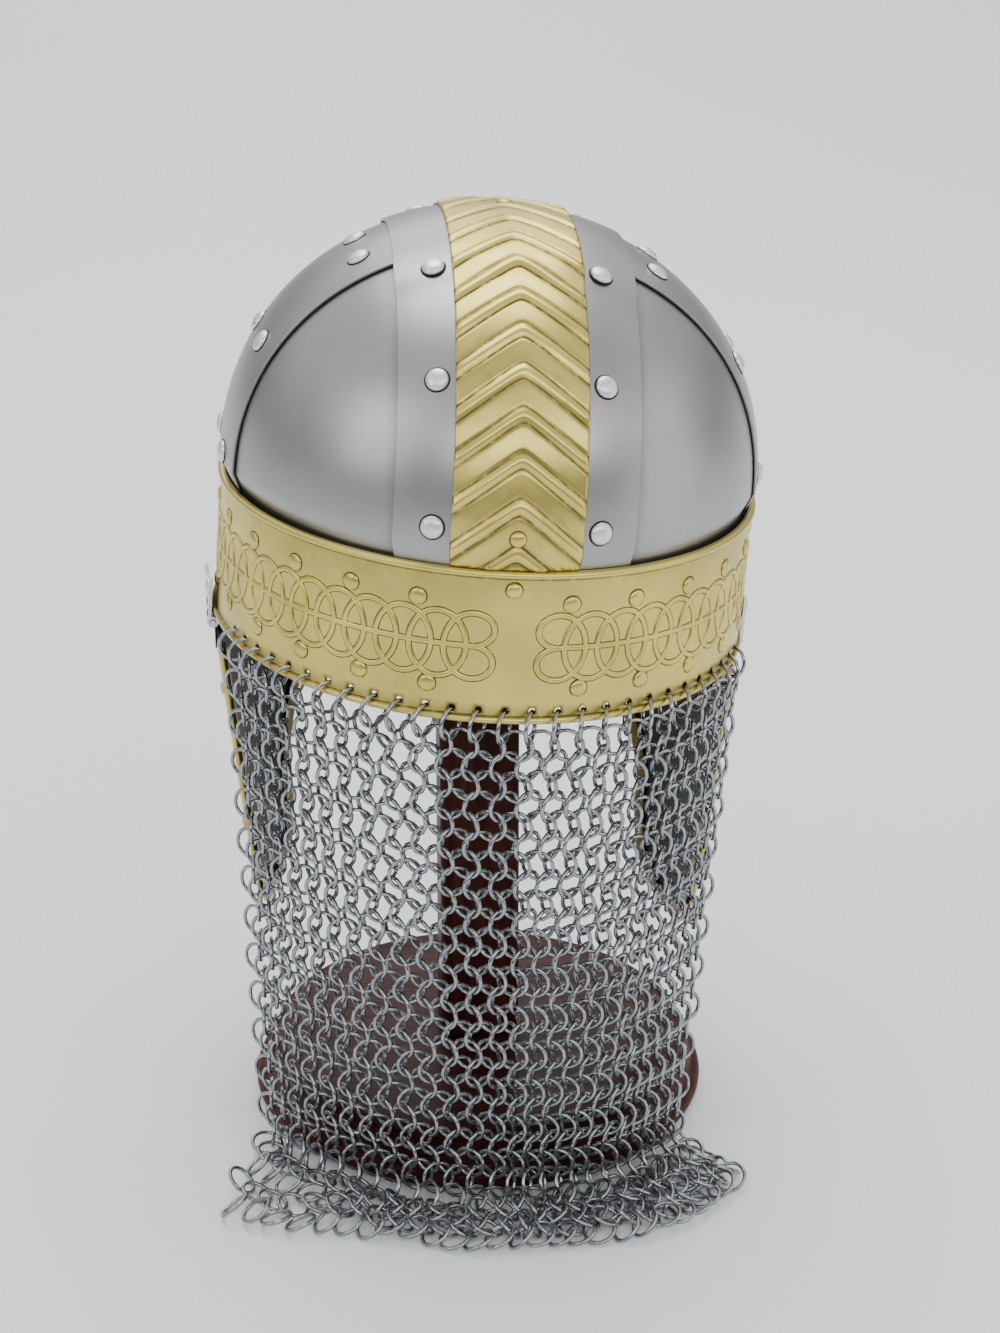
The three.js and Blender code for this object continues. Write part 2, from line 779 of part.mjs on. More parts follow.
// One loop of the curtain's top row: out of the mail, through the band's hole and back.
function loop(azimuth) {
  const direction = browNormal(azimuth, 0);
  const along = new THREE.Vector3(-direction.y, direction.x, 0);
  const foot_drop = ring_hole_rise - 2 * ring_radius - 2 * wire_diameter;
  const outer = loop_outer;
  const inner = loop_inner;
  const bend = wire_diameter;
  const path = [
    [outer, foot_drop], [outer, ring_hole_rise - bend], [outer - bend, ring_hole_rise],
    [inner + bend * 0.6, ring_hole_rise], [inner, ring_hole_rise - bend], [inner, foot_drop],
  ];
  return path.map(([out, height], i) => {
    const [a, b] = [path[Math.max(0, i - 1)], path[Math.min(path.length - 1, i + 1)]];
    const turn = Math.atan2(b[1] - a[1], b[0] - a[0]);
    const ring = [];
    for (let j = 0; j < 5; j += 1) {
      const angle = (j / 5) * 2 * Math.PI;
      const wide = wire_diameter / 2 * Math.cos(angle);
      const proud = wire_diameter / 2 * Math.sin(angle);
      const place = browPoint(azimuth, height - proud * Math.cos(turn), 0);
      place.addScaledVector(direction, out + proud * Math.sin(turn));
      ring.push(place.addScaledVector(along, wide));
    }
    return ring;
  });
}

function mail() {
  const columns = 20;
  const downs = [0.03, 0.35, 0.7, 0.92, 1, 1.15, 1.3, 1.65, 2];
  const rings = [];
  for (let i = 0; i <= columns; i += 1) {
    const share = 1 - 2 * i / columns;
    const before = Math.min(1, share + 0.02);
    const after = Math.max(-1, share - 0.02);
    const outer = [];
    const inner = [];
    for (const down of downs) {
      const middle = mailPoint(share, down);
      const across = mailPoint(after, down).sub(mailPoint(before, down));
      const deeper = mailPoint(share, Math.min(2, down + 0.01));
      const along = deeper.sub(mailPoint(share, Math.max(0, down - 0.01)));
      const normal = new THREE.Vector3().crossVectors(along, across).normalize();
      outer.push(middle.clone().addScaledVector(normal, mail_thickness / 2));
      inner.push(middle.clone().addScaledVector(normal, -mail_thickness / 2));
    }
    rings.push([...outer, ...inner.reverse()]);
  }
  const loops = [];
  for (let i = 0; i < ring_count; i += 1) {
    const azimuth = azimuthAt((i - (ring_count - 1) / 2) * ring_spacing);
    loops.push(solid(skinned(loop(azimuth)).applyMatrix4(helmet.matrixWorld)));
  }
  return joined([solid(skinned(rings)), ...loops]);
}

add(group, 'mail_curtain', geometryOf(mail()), 'wire');

// Cheek guards: a curved plate with a brass channel on its free edge, hung on a hinge whose
// axis runs fore and aft below the brow band. A table row is a share of the drop, and the rear
// and front ends of the plate there as shares of its width.
const guard_rows = [
  { down: 0, rear: 0, front: 1 },
  { down: 0.2, rear: 0, front: 1.02 },
  { down: 0.4, rear: 0.01, front: 0.93 },
  { down: 0.6, rear: 0.03, front: 0.82 },
  { down: 0.8, rear: 0.08, front: 0.78 },
  { down: 0.92, rear: 0.17, front: 0.72 },
  { down: 1, rear: 0.33, front: 0.58 },
];
const guard_columns = [0, 0.2, 0.4, 0.6, 0.8, 1];
const edging_rivets = [
  { across: 0, down: 0.18 },
  { across: 0, down: 0.64 },
  { across: 1, down: 0.5 },
];

function guardRow(down) {
  const after = Math.max(1, guard_rows.findIndex((row) => row.down >= down));
  const [a, b] = [guard_rows[after - 1], guard_rows[after]];
  const share = (down - a.down) / (b.down - a.down);
  return { down, rear: a.rear + (b.rear - a.rear) * share, front: a.front + (b.front - a.front) * share };
}

// A point of the left guard's middle surface, from its hinge's middle. Grow moves the outline out.
function guardPoint(across, down, grow = 0) {
  const row = guardRow(down);
  const spread = grow * (1 - 2 * across);
  const y = guard_rear - guard_width * (row.rear + (row.front - row.rear) * across) + spread;
  const bow = 1 - Math.sqrt(Math.max(0, 1 - (y / brow_half_front) ** 2));
  const fall = guard_top + (guard_drop - guard_top) * row.down + (down === 1 ? grow : 0);
  const lean = guard_lean * (fall / guard_drop) ** 1.1;
  const ahead = Math.max(0, guard_rear - y - guard_wrap_start) / (guard_width - guard_wrap_start);
  const inset = guard_inset + lean + guard_wrap * ahead ** 2;
  const x = brow_half_width * (1 - bow) - inset - hinge_radius;
  return new THREE.Vector3(x, y - hinge_middle, -fall);
}

function guardNormal(across, down) {
  const step = 0.02;
  const [left, right] = [Math.max(0, across - step), Math.min(1, across + step)];
  const [high, low] = [Math.max(0, down - step), Math.min(1, down + step)];
  const along = guardPoint(right, down).sub(guardPoint(left, down));
  const fall = guardPoint(across, low).sub(guardPoint(across, high));
  return new THREE.Vector3().crossVectors(along, fall).normalize();
}

function guardSheet(half, grow) {
  const off = (across, row, out) => (
    guardPoint(across, row.down, grow).addScaledVector(guardNormal(across, row.down), out)
  );
  const rings = guard_rows.map((row) => [
    ...guard_columns.map((across) => off(across, row, half)),
    ...guard_columns.map((across) => off(across, row, -half)).reverse(),
  ]);
  return solid(skinned(rings));
}

// The guard's free edge as shares across and down: the rear, the bottom and the front.
function guardEdge() {
  const downs = guard_rows.slice(1).map((row) => row.down);
  const rear = [0.04, ...downs].map((down) => ({ across: 0, down, inside: [0.08, down * 0.985] }));
  const bottom = [0.5].map((across) => ({ across, down: 1, inside: [across, 0.93] }));
  const front = [0.04, ...downs].map((down) => ({ across: 1, down, inside: [0.92, down * 0.985] }));
  return [...rear, ...bottom, ...front.reverse()];
}

function edging() {
  const spots = guardEdge();
  const path = spots.map((spot) => guardPoint(spot.across, spot.down));
  const slot = guard_thickness / 2 + clearance;
  const outside = slot + edging_wall;
  const section = [
    [-edging_depth, slot], [-edging_depth, outside], [edging_wall + clearance, outside],
    [edging_wall + clearance, -outside], [-edging_depth, -outside], [-edging_depth, -slot],
    [clearance, -slot], [clearance, slot],
  ];
  const rings = path.map((place, i) => {
    const before = path[Math.max(0, i - 1)];
    const after = path[Math.min(path.length - 1, i + 1)];
    const along = new THREE.Vector3().subVectors(after, before).normalize();
    const normal = guardNormal(spots[i].across, spots[i].down);
    normal.addScaledVector(along, -along.dot(normal)).normalize();
    const outward = new THREE.Vector3().crossVectors(along, normal).normalize();
    const inside = guardPoint(...spots[i].inside).sub(place);
    if (outward.dot(inside) > 0) {
      outward.negate();
    }
    return section.map(([o, n]) => place.clone().addScaledVector(outward, o).addScaledVector(normal, n));
  });
  const slotted = guardSheet(slot, clearance);
  return solid(skinned(rings)).subtract(slotted);
}

// One knuckle or pin: a rod along the hinge's axis between two places on it.
function rod(from, to, radius, sides) {
  const length = to - from;
  return new THREE.CylinderGeometry(radius, radius, length, sides).translate(0, (from + to) / 2, 0);
}

const knuckle_count = 5;
const knuckle_length = hinge_length / knuckle_count;

function knuckles(parity) {
  const rods = [];
  for (let i = parity; i < knuckle_count; i += 2) {
    const from = -hinge_length / 2 + i * knuckle_length;
    rods.push(solid(rod(from + clearance / 2, from + knuckle_length - clearance / 2, knuckle_radius, 8)));
  }
  return rods;
}

const pin_hole = () => solid(rod(-hinge_length, hinge_length, pin_radius + clearance, 8));

// The band's leaf stands just outside the lip and goes up the band's face.
const leaf_face = brow_half_width + lip_size + clearance - hinge_radius;

function bandLeaf() {
  const low = new THREE.Vector3(leaf_face, -hinge_length / 2 + clearance / 2, -knuckle_radius * 0.3);
  const high = new THREE.Vector3(
    leaf_face + leaf_thickness,
    hinge_length / 2 - clearance / 2,
    hinge_drop + hinge_leaf,
  );
  const leaf = box(low, high);
  const slots = [];
  for (let i = 1; i < knuckle_count; i += 2) {
    const from = -hinge_length / 2 + i * knuckle_length;
    slots.push(box(
      new THREE.Vector3(-far, from - clearance / 2, -far),
      new THREE.Vector3(far, from + knuckle_length + clearance / 2, knuckle_radius + clearance),
    ));
  }
  const holes = leafRivets().map(({ place, direction }) => shankHole(place, direction, 4));
  return drilled(joined([leaf, ...knuckles(0)]), [pin_hole(), ...slots, ...holes]);
}

function leafRivets() {
  return [1, -1].map((end) => ({
    place: new THREE.Vector3(
      leaf_face + leaf_thickness,
      end * leaf_rivet_spacing / 2,
      hinge_drop + hinge_leaf * 0.62,
    ),
    direction: new THREE.Vector3(1, 0, 0),
  }));
}

// The guard's own knuckles stand on straps that are brazed to the outside of the plate.
function guardPlate() {
  const straps = [];
  for (let i = 1; i < knuckle_count; i += 2) {
    const from = -hinge_length / 2 + i * knuckle_length;
    const plate_face = guardPoint(0.2, 0.05).x;
    straps.push(box(
      new THREE.Vector3(plate_face - strap_sink, from + clearance / 2, -guard_top - strap_drop),
      new THREE.Vector3(plate_face + 2 * leaf_thickness, from + knuckle_length - clearance / 2, -strap_sink),
    ));
  }
  const holes = edging_rivets.map((spot) => edgingHole(spot));
  const sheet = guardSheet(guard_thickness / 2, 0);
  return drilled(joined([sheet, ...straps, ...knuckles(1)]), [pin_hole(), ...holes]);
}

function edgingSpot(spot) {
  const inside = spot.across > 0 ? 1 - edging_inset : edging_inset;
  const direction = guardNormal(inside, spot.down);
  if (direction.x < 0) {
    direction.negate();
  }
  const outside = guard_thickness / 2 + clearance + edging_wall;
  const place = guardPoint(inside, spot.down).addScaledVector(direction, outside);
  return { place, direction, stack: 2 * outside };
}

function edgingHole(spot) {
  const { place, direction } = edgingSpot(spot);
  return shankHole(place, direction, 5);
}

// A geometry made for the left side, or its mirror image for the right.
function handed(geometry, side) {
  return side > 0 ? geometry : facingOut(geometry.clone().scale(-1, 1, 1));
}

const hinges = {};
for (const [hand, side] of [['left', 1], ['right', -1]]) {
  const on_helmet = new THREE.Group();
  on_helmet.position.set(side * hinge_radius, hinge_middle, -hinge_drop);
  helmet.add(on_helmet);
  helmet.updateMatrixWorld(true);
  const guard = new THREE.Group();
  guard.position.setFromMatrixPosition(on_helmet.matrixWorld);
  group.add(guard);
  hinges[hand] = guard.position;

  add(on_helmet, `hinge_leaf_${hand}`, handed(geometryOf(bandLeaf()), side), 'polished');
  const pin = solid(rod(-hinge_length / 2 - 0.5, hinge_length / 2 + 0.5, pin_radius, 8));
  add(on_helmet, `hinge_pin_${hand}`, handed(geometryOf(pin), side), 'polished');
  leafRivets().forEach(({ place, direction }, i) => {
    const stack = leaf_thickness + lip_size + clearance + brow_thickness;
    const form = stood(rivet(brass_head_radius, stack), place, direction);
    add(on_helmet, `rivet_leaf_${hand}_${i + 1}`, handed(indexed(form), side), 'polished');
  });

  add(guard, `cheek_guard_${hand}`, handed(geometryOf(guardPlate()), side), 'blackened');
  const channel = drilled(edging(), edging_rivets.map((spot) => edgingHole(spot)));
  add(guard, `edging_${hand}`, handed(geometryOf(channel), side), 'brass');
  edging_rivets.forEach((spot, i) => {
    const { place, direction, stack } = edgingSpot(spot);
    const form = stood(rivet(brass_head_radius * 0.85, stack), place, direction);
    add(guard, `rivet_edging_${hand}_${i + 1}`, handed(indexed(form), side), 'brass');
  });
}

export default group;
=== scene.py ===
import math
import random

import bmesh
import bpy
from bpy.props import FloatProperty, FloatVectorProperty, IntProperty, PointerProperty
from mathutils import Matrix, Vector

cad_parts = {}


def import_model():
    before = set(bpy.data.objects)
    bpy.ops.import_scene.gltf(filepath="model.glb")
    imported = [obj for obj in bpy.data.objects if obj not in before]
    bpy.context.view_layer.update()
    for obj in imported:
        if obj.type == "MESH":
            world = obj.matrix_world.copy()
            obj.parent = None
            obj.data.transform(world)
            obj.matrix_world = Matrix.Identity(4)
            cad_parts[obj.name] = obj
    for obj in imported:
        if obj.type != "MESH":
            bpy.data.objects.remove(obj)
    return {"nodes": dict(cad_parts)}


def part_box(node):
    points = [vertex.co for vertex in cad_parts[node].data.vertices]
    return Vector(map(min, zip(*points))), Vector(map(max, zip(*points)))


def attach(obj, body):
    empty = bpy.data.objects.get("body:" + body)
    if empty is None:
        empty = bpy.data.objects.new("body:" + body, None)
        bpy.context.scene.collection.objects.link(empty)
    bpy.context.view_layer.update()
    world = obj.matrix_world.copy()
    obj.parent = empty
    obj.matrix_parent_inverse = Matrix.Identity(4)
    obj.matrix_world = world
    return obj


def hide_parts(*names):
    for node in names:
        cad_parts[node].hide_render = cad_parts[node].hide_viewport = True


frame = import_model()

bl_info = {
    "name": "Norse helmet on a stand",
    "version": (1, 0, 0),
    "blender": (4, 5, 0),
    "location": "3D View > Sidebar > Helmet",
    "description": "Dresses a norse iron helmet with a mail curtain on its wooden stand",
    "category": "Object",
}

# The helmet faces -Y, +Z is up, and sizes below are millimetres, as in the part's own source.
MM = 0.001
CLEARANCE = 0.3
BRIM_HEIGHT = 209.0
HELMET_LEAN = -4.4
TO_WORLD = Matrix.Translation((0, 0, BRIM_HEIGHT)) @ Matrix.Rotation(math.radians(HELMET_LEAN), 4, "Y")
TO_HELMET = TO_WORLD.inverted()
SIDES = {"left": 1, "right": -1}

CROWN_HALF_WIDTH = 102.5
CROWN_HALF_REAR = 102.3
CROWN_HALF_FRONT = 111.0
CROWN_RISE = 94.6
CROWN_SPRINGING = 63.8
CROWN_FULLNESS = 2.08
CROWN_SKIRT = 30.0
CROWN_TUCK = 2.9
PANEL_THICKNESS = 1.4
PANEL_INSET = 14.0

BAND_THICKNESS = 1.2
CREST_HALF_WIDTH = 43.6
SIDE_HALF_WIDTH = 28.0
SIDE_INNER_END = 33.0
CREST_OVERLAP = 10.0
CREST_JOGGLE = 12.0
STRIP_HALF_WIDTH = 23.5
STRIP_THICKNESS = 0.8
CHEVRON_PITCH = 16.3
CHEVRON_DROP = 18.5
# Radius that turns a length along the crest into an angle
CHEVRON_RADIUS = (CROWN_HALF_REAR + CROWN_RISE) / 2
# Height of a side band's outer face above the panels
SIDE_OUTER = CLEARANCE + BAND_THICKNESS

BROW_HEIGHT = 57.6
BROW_HALF_WIDTH = 103.0
BROW_HALF_REAR = 109.0
BROW_HALF_FRONT = 118.0
BROW_REAR_TAPER = 3.5
BROW_THICKNESS = 1.2
LIP_SIZE = 1.4
TUCK_DROP = CROWN_SPRINGING - BROW_HEIGHT - CLEARANCE
# Drops below the springing where a crown sheet has a row of points, down behind the brow band
SKIRT_RISES = (-CROWN_SKIRT, -TUCK_DROP - 8, -TUCK_DROP, -TUCK_DROP / 2)

RING_COUNT = 27
RING_SPACING = 9.8
RING_HOLE_RADIUS = 1.9
RING_HOLE_RISE = 4.9
CONTACT_RADIUS = 100.0

HINGE_RADIUS = 104.0
HINGE_DROP = 4.5
HINGE_MIDDLE = -6.0
GUARD_DROP = 134.0
GUARD_REAR = 12.0
GUARD_WIDTH = 84.0
GUARD_THICKNESS = 1.3
GUARD_LEAN = 15.0
GUARD_TOP = 4.2
GUARD_INSET = 1.0
GUARD_WRAP = 11.0
GUARD_WRAP_START = 33.0

FOOT_RADIUS = 93.0
FOOT_HEIGHT = 23.0
FOOT_TOP_RADIUS = 85.3
FOOT_BEAD = 8.6


def linear(hex_colour):
    """The linear colour of an sRGB hex value."""
    parts = [int(hex_colour[i:i + 2], 16) / 255 for i in (1, 3, 5)]
    return tuple(c / 12.92 if c <= 0.04045 else ((c + 0.055) / 1.055) ** 2.4 for c in parts)


class HelmetSizes(bpy.types.PropertyGroup):
    """Sizes of the helmet's fine detail, in metres"""

    wire_diameter: FloatProperty(
        name="Mail wire", description="Diameter of the wire that the mail rings are bent from",
        default=0.0016, min=0.0008, max=0.002, unit="LENGTH")
    ring_radius: FloatProperty(
        name="Mail ring", description="Radius of a mail ring at the middle of its wire",
        default=0.006, min=0.005, max=0.0065, unit="LENGTH")
    ring_lean: FloatProperty(
        name="Ring lean", description="Turn of each row of rings about the way it hangs",
        default=math.radians(29), min=0.2, max=0.9, subtype="ANGLE")
    row_pitch: FloatProperty(
        name="Row pitch", description="Distance from one row of rings to the next",
        default=0.0083, min=0.007, max=0.0088, unit="LENGTH")
    row_count: IntProperty(
        name="Rows", description="Rows of rings from the brow band to the hem", default=30, min=4, max=32)
    steel_head: FloatProperty(
        name="Steel rivet", description="Radius of a steel rivet's domed head",
        default=0.0043, min=0.002, max=0.006, unit="LENGTH")
    brass_head: FloatProperty(
        name="Brass rivet", description="Radius of a brass rivet's domed head",
        default=0.003, min=0.0015, max=0.005, unit="LENGTH")
    boss_radius: FloatProperty(
        name="Boss", description="Radius of a raised boss on the brow band",
        default=0.0033, min=0.002, max=0.005, unit="LENGTH")
    boss_pitch: FloatProperty(
        name="Boss pitch", description="Distance from one boss to the next round the band",
        default=0.0265, min=0.02, max=0.04, unit="LENGTH")
    loop_half_width: FloatProperty(
        name="Interlace loop width", description="Half the width of each upright loop in the interlace",
        default=0.0106, min=0.007, max=0.012, unit="LENGTH")
    loop_half_height: FloatProperty(
        name="Interlace loop height", description="Half the height of each upright loop in the interlace",
        default=0.0124, min=0.008, max=0.014, unit="LENGTH")
    loop_pitch: FloatProperty(
        name="Interlace pitch", description="Distance from one interlace loop to the next",
        default=0.0129, min=0.01, max=0.02, unit="LENGTH")
    line_half_width: FloatProperty(
        name="Interlace line", description="Half the width of the raised line that draws the interlace",
        default=0.00105, min=0.0004, max=0.0015, unit="LENGTH")
    line_height: FloatProperty(
        name="Interlace relief", description="Height of the raised line above the brow band",
        default=0.00058, min=0.0002, max=0.0011, unit="LENGTH")
    chevron_height: FloatProperty(
        name="Chevron height", description="Height that a chevron stands above the ridge strip",
        default=0.0009, min=0.0002, max=0.0015, unit="LENGTH")


class HelmetColours(bpy.types.PropertyGroup):
    """Colours of the helmet's finishes"""

    steel: FloatVectorProperty(
        name="Satin steel", description="Crown panels and bands", subtype="COLOR", size=3,
        default=linear("#A6A6A6"), min=0, max=1)
    bright_steel: FloatVectorProperty(
        name="Polished steel", description="Rivet heads and hinges", subtype="COLOR", size=3,
        default=linear("#A2A3A6"), min=0, max=1)
    brass: FloatVectorProperty(
        name="Brass", description="Stamped brow band, ridge strip and edgings", subtype="COLOR", size=3,
        default=linear("#DBCA70"), min=0, max=1)
    # The same dark colour also stands for painted shade in the ring holes, at the brass rivets' feet and
    # inside the edging
    patina_and_shade: FloatVectorProperty(
        name="Patina", description="Dark oxide left beside the raised lines", subtype="COLOR", size=3,
        default=linear("#4A3C1C"), min=0, max=1)
    wire: FloatVectorProperty(
        name="Mail wire", description="Bright zinc on the ring wire", subtype="COLOR", size=3,
        default=linear("#A3A6A8"), min=0, max=1)
    # Also the colour of the painted contact shadow ring at each steel rivet's foot
    dark_steel: FloatVectorProperty(
        name="Blackened steel", description="Cheek guard plates", subtype="COLOR", size=3,
        default=linear("#1B1718"), min=0, max=1)
    wood: FloatVectorProperty(
        name="Mahogany", description="Stained and varnished stand", subtype="COLOR", size=3,
        default=linear("#3F1B13"), min=0, max=1)
    floor: FloatVectorProperty(
        name="Floor", description="Pale matt floor", subtype="COLOR", size=3,
        default=linear("#EDEEF0"), min=0, max=1)


# Surfaces of the crown and the brow band


def power(value):
    """A sine or cosine made fuller, which squares the crown's arch a little."""
    return math.copysign(abs(value) ** (2 / CROWN_FULLNESS), value)


def crown_half(lengthwise):
    """Half the crown's length, to the rear or to the front as the sign says."""
    return CROWN_HALF_REAR if lengthwise > 0 else CROWN_HALF_FRONT


def crown_point(azimuth, rise, offset):
    """A point of the crown. A negative rise is a drop below the springing in millimetres."""
    lateral, lengthwise = math.cos(azimuth), math.sin(azimuth)
    half = crown_half(lengthwise)
    if rise >= 0:
        ring = power(math.cos(rise))
        height = CROWN_SPRINGING + (CROWN_RISE + offset) * power(math.sin(rise))
        return Vector((
            (CROWN_HALF_WIDTH + offset) * ring * lateral, (half + offset) * ring * lengthwise, height))
    tuck = CROWN_TUCK * min(1.0, -rise / TUCK_DROP)
    return Vector((
        (CROWN_HALF_WIDTH - tuck + offset) * lateral, (half + offset) * lengthwise, CROWN_SPRINGING + rise))


def crown_normal(azimuth, rise):
    step = 0.01
    here = crown_point(azimuth, rise, 0)
    beside = crown_point(azimuth + step, rise, 0) - here
    above = crown_point(azimuth, rise + step, 0) - here
    return beside.cross(above).normalized()


def crown_at(x, y):
    """Azimuth and rise of the crown's place over x and y."""
    lateral, lengthwise = x / CROWN_HALF_WIDTH, y / crown_half(y)
    ring = min(1.0, math.hypot(lateral, lengthwise))
    return math.atan2(lengthwise, lateral), math.acos(ring ** (CROWN_FULLNESS / 2))


def on_crest(across, angle):
    """Azimuth and rise of a place on the crest, whose angle runs from the rear over the top."""
    inside = min(math.pi, max(0.0, angle))
    if angle != inside:
        azimuth = math.copysign(math.acos(across / CROWN_HALF_WIDTH), math.cos(inside))
        return azimuth, -abs(angle - inside) * CHEVRON_RADIUS
    ring = math.sqrt(1 - (across / CROWN_HALF_WIDTH) ** 2)
    return crown_at(across, crown_half(math.cos(inside)) * ring * math.cos(inside))


def smooth(value):
    """A soft step from 0 to 1."""
    held = min(1.0, max(0.0, value))
    return held * held * (3 - 2 * held)


def crest_outer(place):
    """Height of the crest band's outer face, which steps up over the side bands."""
    beyond = abs(place.y) - SIDE_HALF_WIDTH - CREST_OVERLAP
    return SIDE_OUTER * smooth(1 - beyond / CREST_JOGGLE) + CLEARANCE + BAND_THICKNESS


def strip_outer(place):
    return crest_outer(place) + CLEARANCE + STRIP_THICKNESS


def brow_point(azimuth, height, offset):
    taper = BROW_REAR_TAPER * min(1.0, max(0.0, height / BROW_HEIGHT))
    half = (BROW_HALF_REAR if math.sin(azimuth) > 0 else BROW_HALF_FRONT) - taper + offset
    return Vector(((BROW_HALF_WIDTH + offset) * math.cos(azimuth), half * math.sin(azimuth), height))


def brow_normal(azimuth, height):
    step = 0.01
    along = (brow_point(azimuth + step, height, 0) - brow_point(azimuth - step, height, 0)).normalized()
    return Vector((along.y, -along.x, 0))


def girth_table():
    """Azimuths against the girth from the middle of the rear towards the wearer's left."""
    table, girth, last = [], 0.0, None
    for i in range(361):
        azimuth = math.pi / 2 - i / 360 * math.pi
        place = brow_point(azimuth, 0, 0)
        girth += (place - last).length if last else 0.0
        table.append((girth, azimuth))
        last = place
    return table


GIRTHS = girth_table()
HALF_GIRTH = GIRTHS[-1][0]


def azimuth_at(girth):
    wanted = min(HALF_GIRTH - 1e-6, abs(girth))
    step = next(i for i, row in enumerate(GIRTHS) if row[0] > wanted)
    (g0, a0), (g1, a1) = GIRTHS[step - 1], GIRTHS[step]
    azimuth = a0 + (a1 - a0) * (wanted - g0) / (g1 - g0)
    return azimuth if girth >= 0 else math.pi - azimuth


def on_band(girth, height, offset=0.0):
    """A point of the brow band's face; a positive girth is towards the wearer's left."""
    return brow_point(azimuth_at(girth), height, offset)


# Materials


def node(tree, kind, links=None, **settings):
    """Adds one node, sets its properties or input values, and links inputs by name or number."""
    made = tree.nodes.new(kind)
    for key, value in settings.items():
        if hasattr(made, key) and key not in made.inputs:
            setattr(made, key, value)
        else:
            made.inputs[key.replace("_", " ")].default_value = value
    for key, source in (links or {}).items():
        tree.links.new(source, made.inputs[key])
    return made


def noise(tree, coords, **settings):
    return node(tree, "ShaderNodeTexNoise", {"Vector": coords}, **settings).outputs["Fac"]


def ranged(tree, value, **settings):
    return node(tree, "ShaderNodeMapRange", {"Value": value}, **settings).outputs["Result"]


def calculated(tree, operation, first, second):
    return node(tree, "ShaderNodeMath", {0: first, 1: second}, operation=operation).outputs[0]


def bumped(tree, height, strength, distance):
    made = node(tree, "ShaderNodeBump", {"Height": height}, Strength=strength, Distance=distance)
    return made.outputs["Normal"]


def ramp(tree, factor, stops):
    """A colour read from stops of position and colour."""
    made = node(tree, "ShaderNodeValToRGB", {"Fac": factor})
    elements = made.color_ramp.elements
    while len(elements) < len(stops):
        elements.new(0.5)
    for element, (position, colour) in zip(elements, stops):
        element.position = position
        element.color = (*colour, 1.0)
    return made.outputs["Color"]


def mottled(tree, coords, colour, darker, scale):
    """A colour that wanders softly between itself and a darker tone."""
    clouds = noise(tree, coords, Scale=scale, Detail=4.0, Roughness=0.55)
    return ramp(tree, clouds, [(0.3, [c * darker for c in colour]), (0.7, colour)])


def creased(tree, tone, mask, dark):
    """Mixes a tone towards a dark one where the mask is high."""
    mixed = node(tree, "ShaderNodeMix", {0: mask, 6: tone}, data_type="RGBA")
    mixed.inputs[7].default_value = (*dark, 1.0)
    return mixed.outputs[2]


def crease_mask(tree):
    return node(tree, "ShaderNodeAttribute", attribute_name="crease").outputs["Fac"]


def blank(name):
    """A new material, its node tree and its object coordinates."""
    material = bpy.data.materials.new(name)
    material.use_nodes = True
    tree = material.node_tree
    tree.nodes.clear()
    return material, tree, node(tree, "ShaderNodeTexCoord").outputs["Object"]


def surfaced(material, tree, links, **settings):
    """Ends a material with one principled surface."""
    surface = node(tree, "ShaderNodeBsdfPrincipled", links, **settings)
    node(tree, "ShaderNodeOutputMaterial", {"Surface": surface.outputs[0]})
    return material


def satin_steel(name, colour, rough):
    """Hand-rolled sheet steel, ground to a satin: a broad soft sheen, faint clouds, and painted shade on cut
    edges, inner faces and beside the crest band.
    """
    material, tree, coords = blank(name)
    tone = mottled(tree, coords, colour, 0.86, 28.0)
    grind = noise(tree, coords, Scale=900.0, Detail=3.0, Roughness=0.6)
    return surfaced(material, tree, {
        # The crease attribute mixes in painted shade, at a tenth of the steel's colour
        "Base Color": creased(tree, tone, crease_mask(tree), [c * 0.1 for c in colour]),
        "Roughness": ranged(tree, grind, To_Min=rough - 0.05, To_Max=rough + 0.07),
        "Normal": bumped(tree, grind, 0.05, 0.0004)}, Metallic=1.0)


def stamped_brass(name, colour, patina_and_shade):
    """Cartridge brass pressed over a die and wiped back: warm satin with dark oxide in the creases; the same
    darkening is also painted shade in the ring holes, beside the raised lines and lips, at the rivets' feet
    and inside the edging.
    """
    material, tree, coords = blank(name)
    tone = mottled(tree, coords, colour, 0.74, 32.0)
    wander = noise(tree, coords, Scale=260.0, Detail=5.0, Roughness=0.65)
    broken = ranged(tree, wander, From_Min=0.22, From_Max=0.5)
    shade = calculated(tree, "MULTIPLY", crease_mask(tree), broken)
    return surfaced(material, tree, {
        "Base Color": creased(tree, tone, shade, patina_and_shade),
        "Roughness": ranged(tree, wander, To_Min=0.27, To_Max=0.4),
        "Normal": bumped(tree, wander, 0.09, 0.0004)}, Metallic=1.0)


def zinc_wire(name, colour):
    """Spring wire with bright zinc: glossy, with small dull patches where rings have rubbed."""
    material, tree, coords = blank(name)
    rub = noise(tree, coords, Scale=420.0, Detail=2.0)
    return surfaced(material, tree, {
        "Base Color": mottled(tree, coords, colour, 0.72, 180.0),
        "Roughness": ranged(tree, rub, To_Min=0.13, To_Max=0.27)}, Metallic=1.0)


def blackened_steel(name, colour):
    """Oil-blackened sheet: a dark red-brown skin that hides the metal, under a thin oily sheen."""
    material, tree, coords = blank(name)
    return surfaced(
        material, tree, {"Base Color": mottled(tree, coords, colour, 0.6, 60.0)},
        Metallic=0.0, Roughness=0.5, Specular_IOR_Level=0.2)


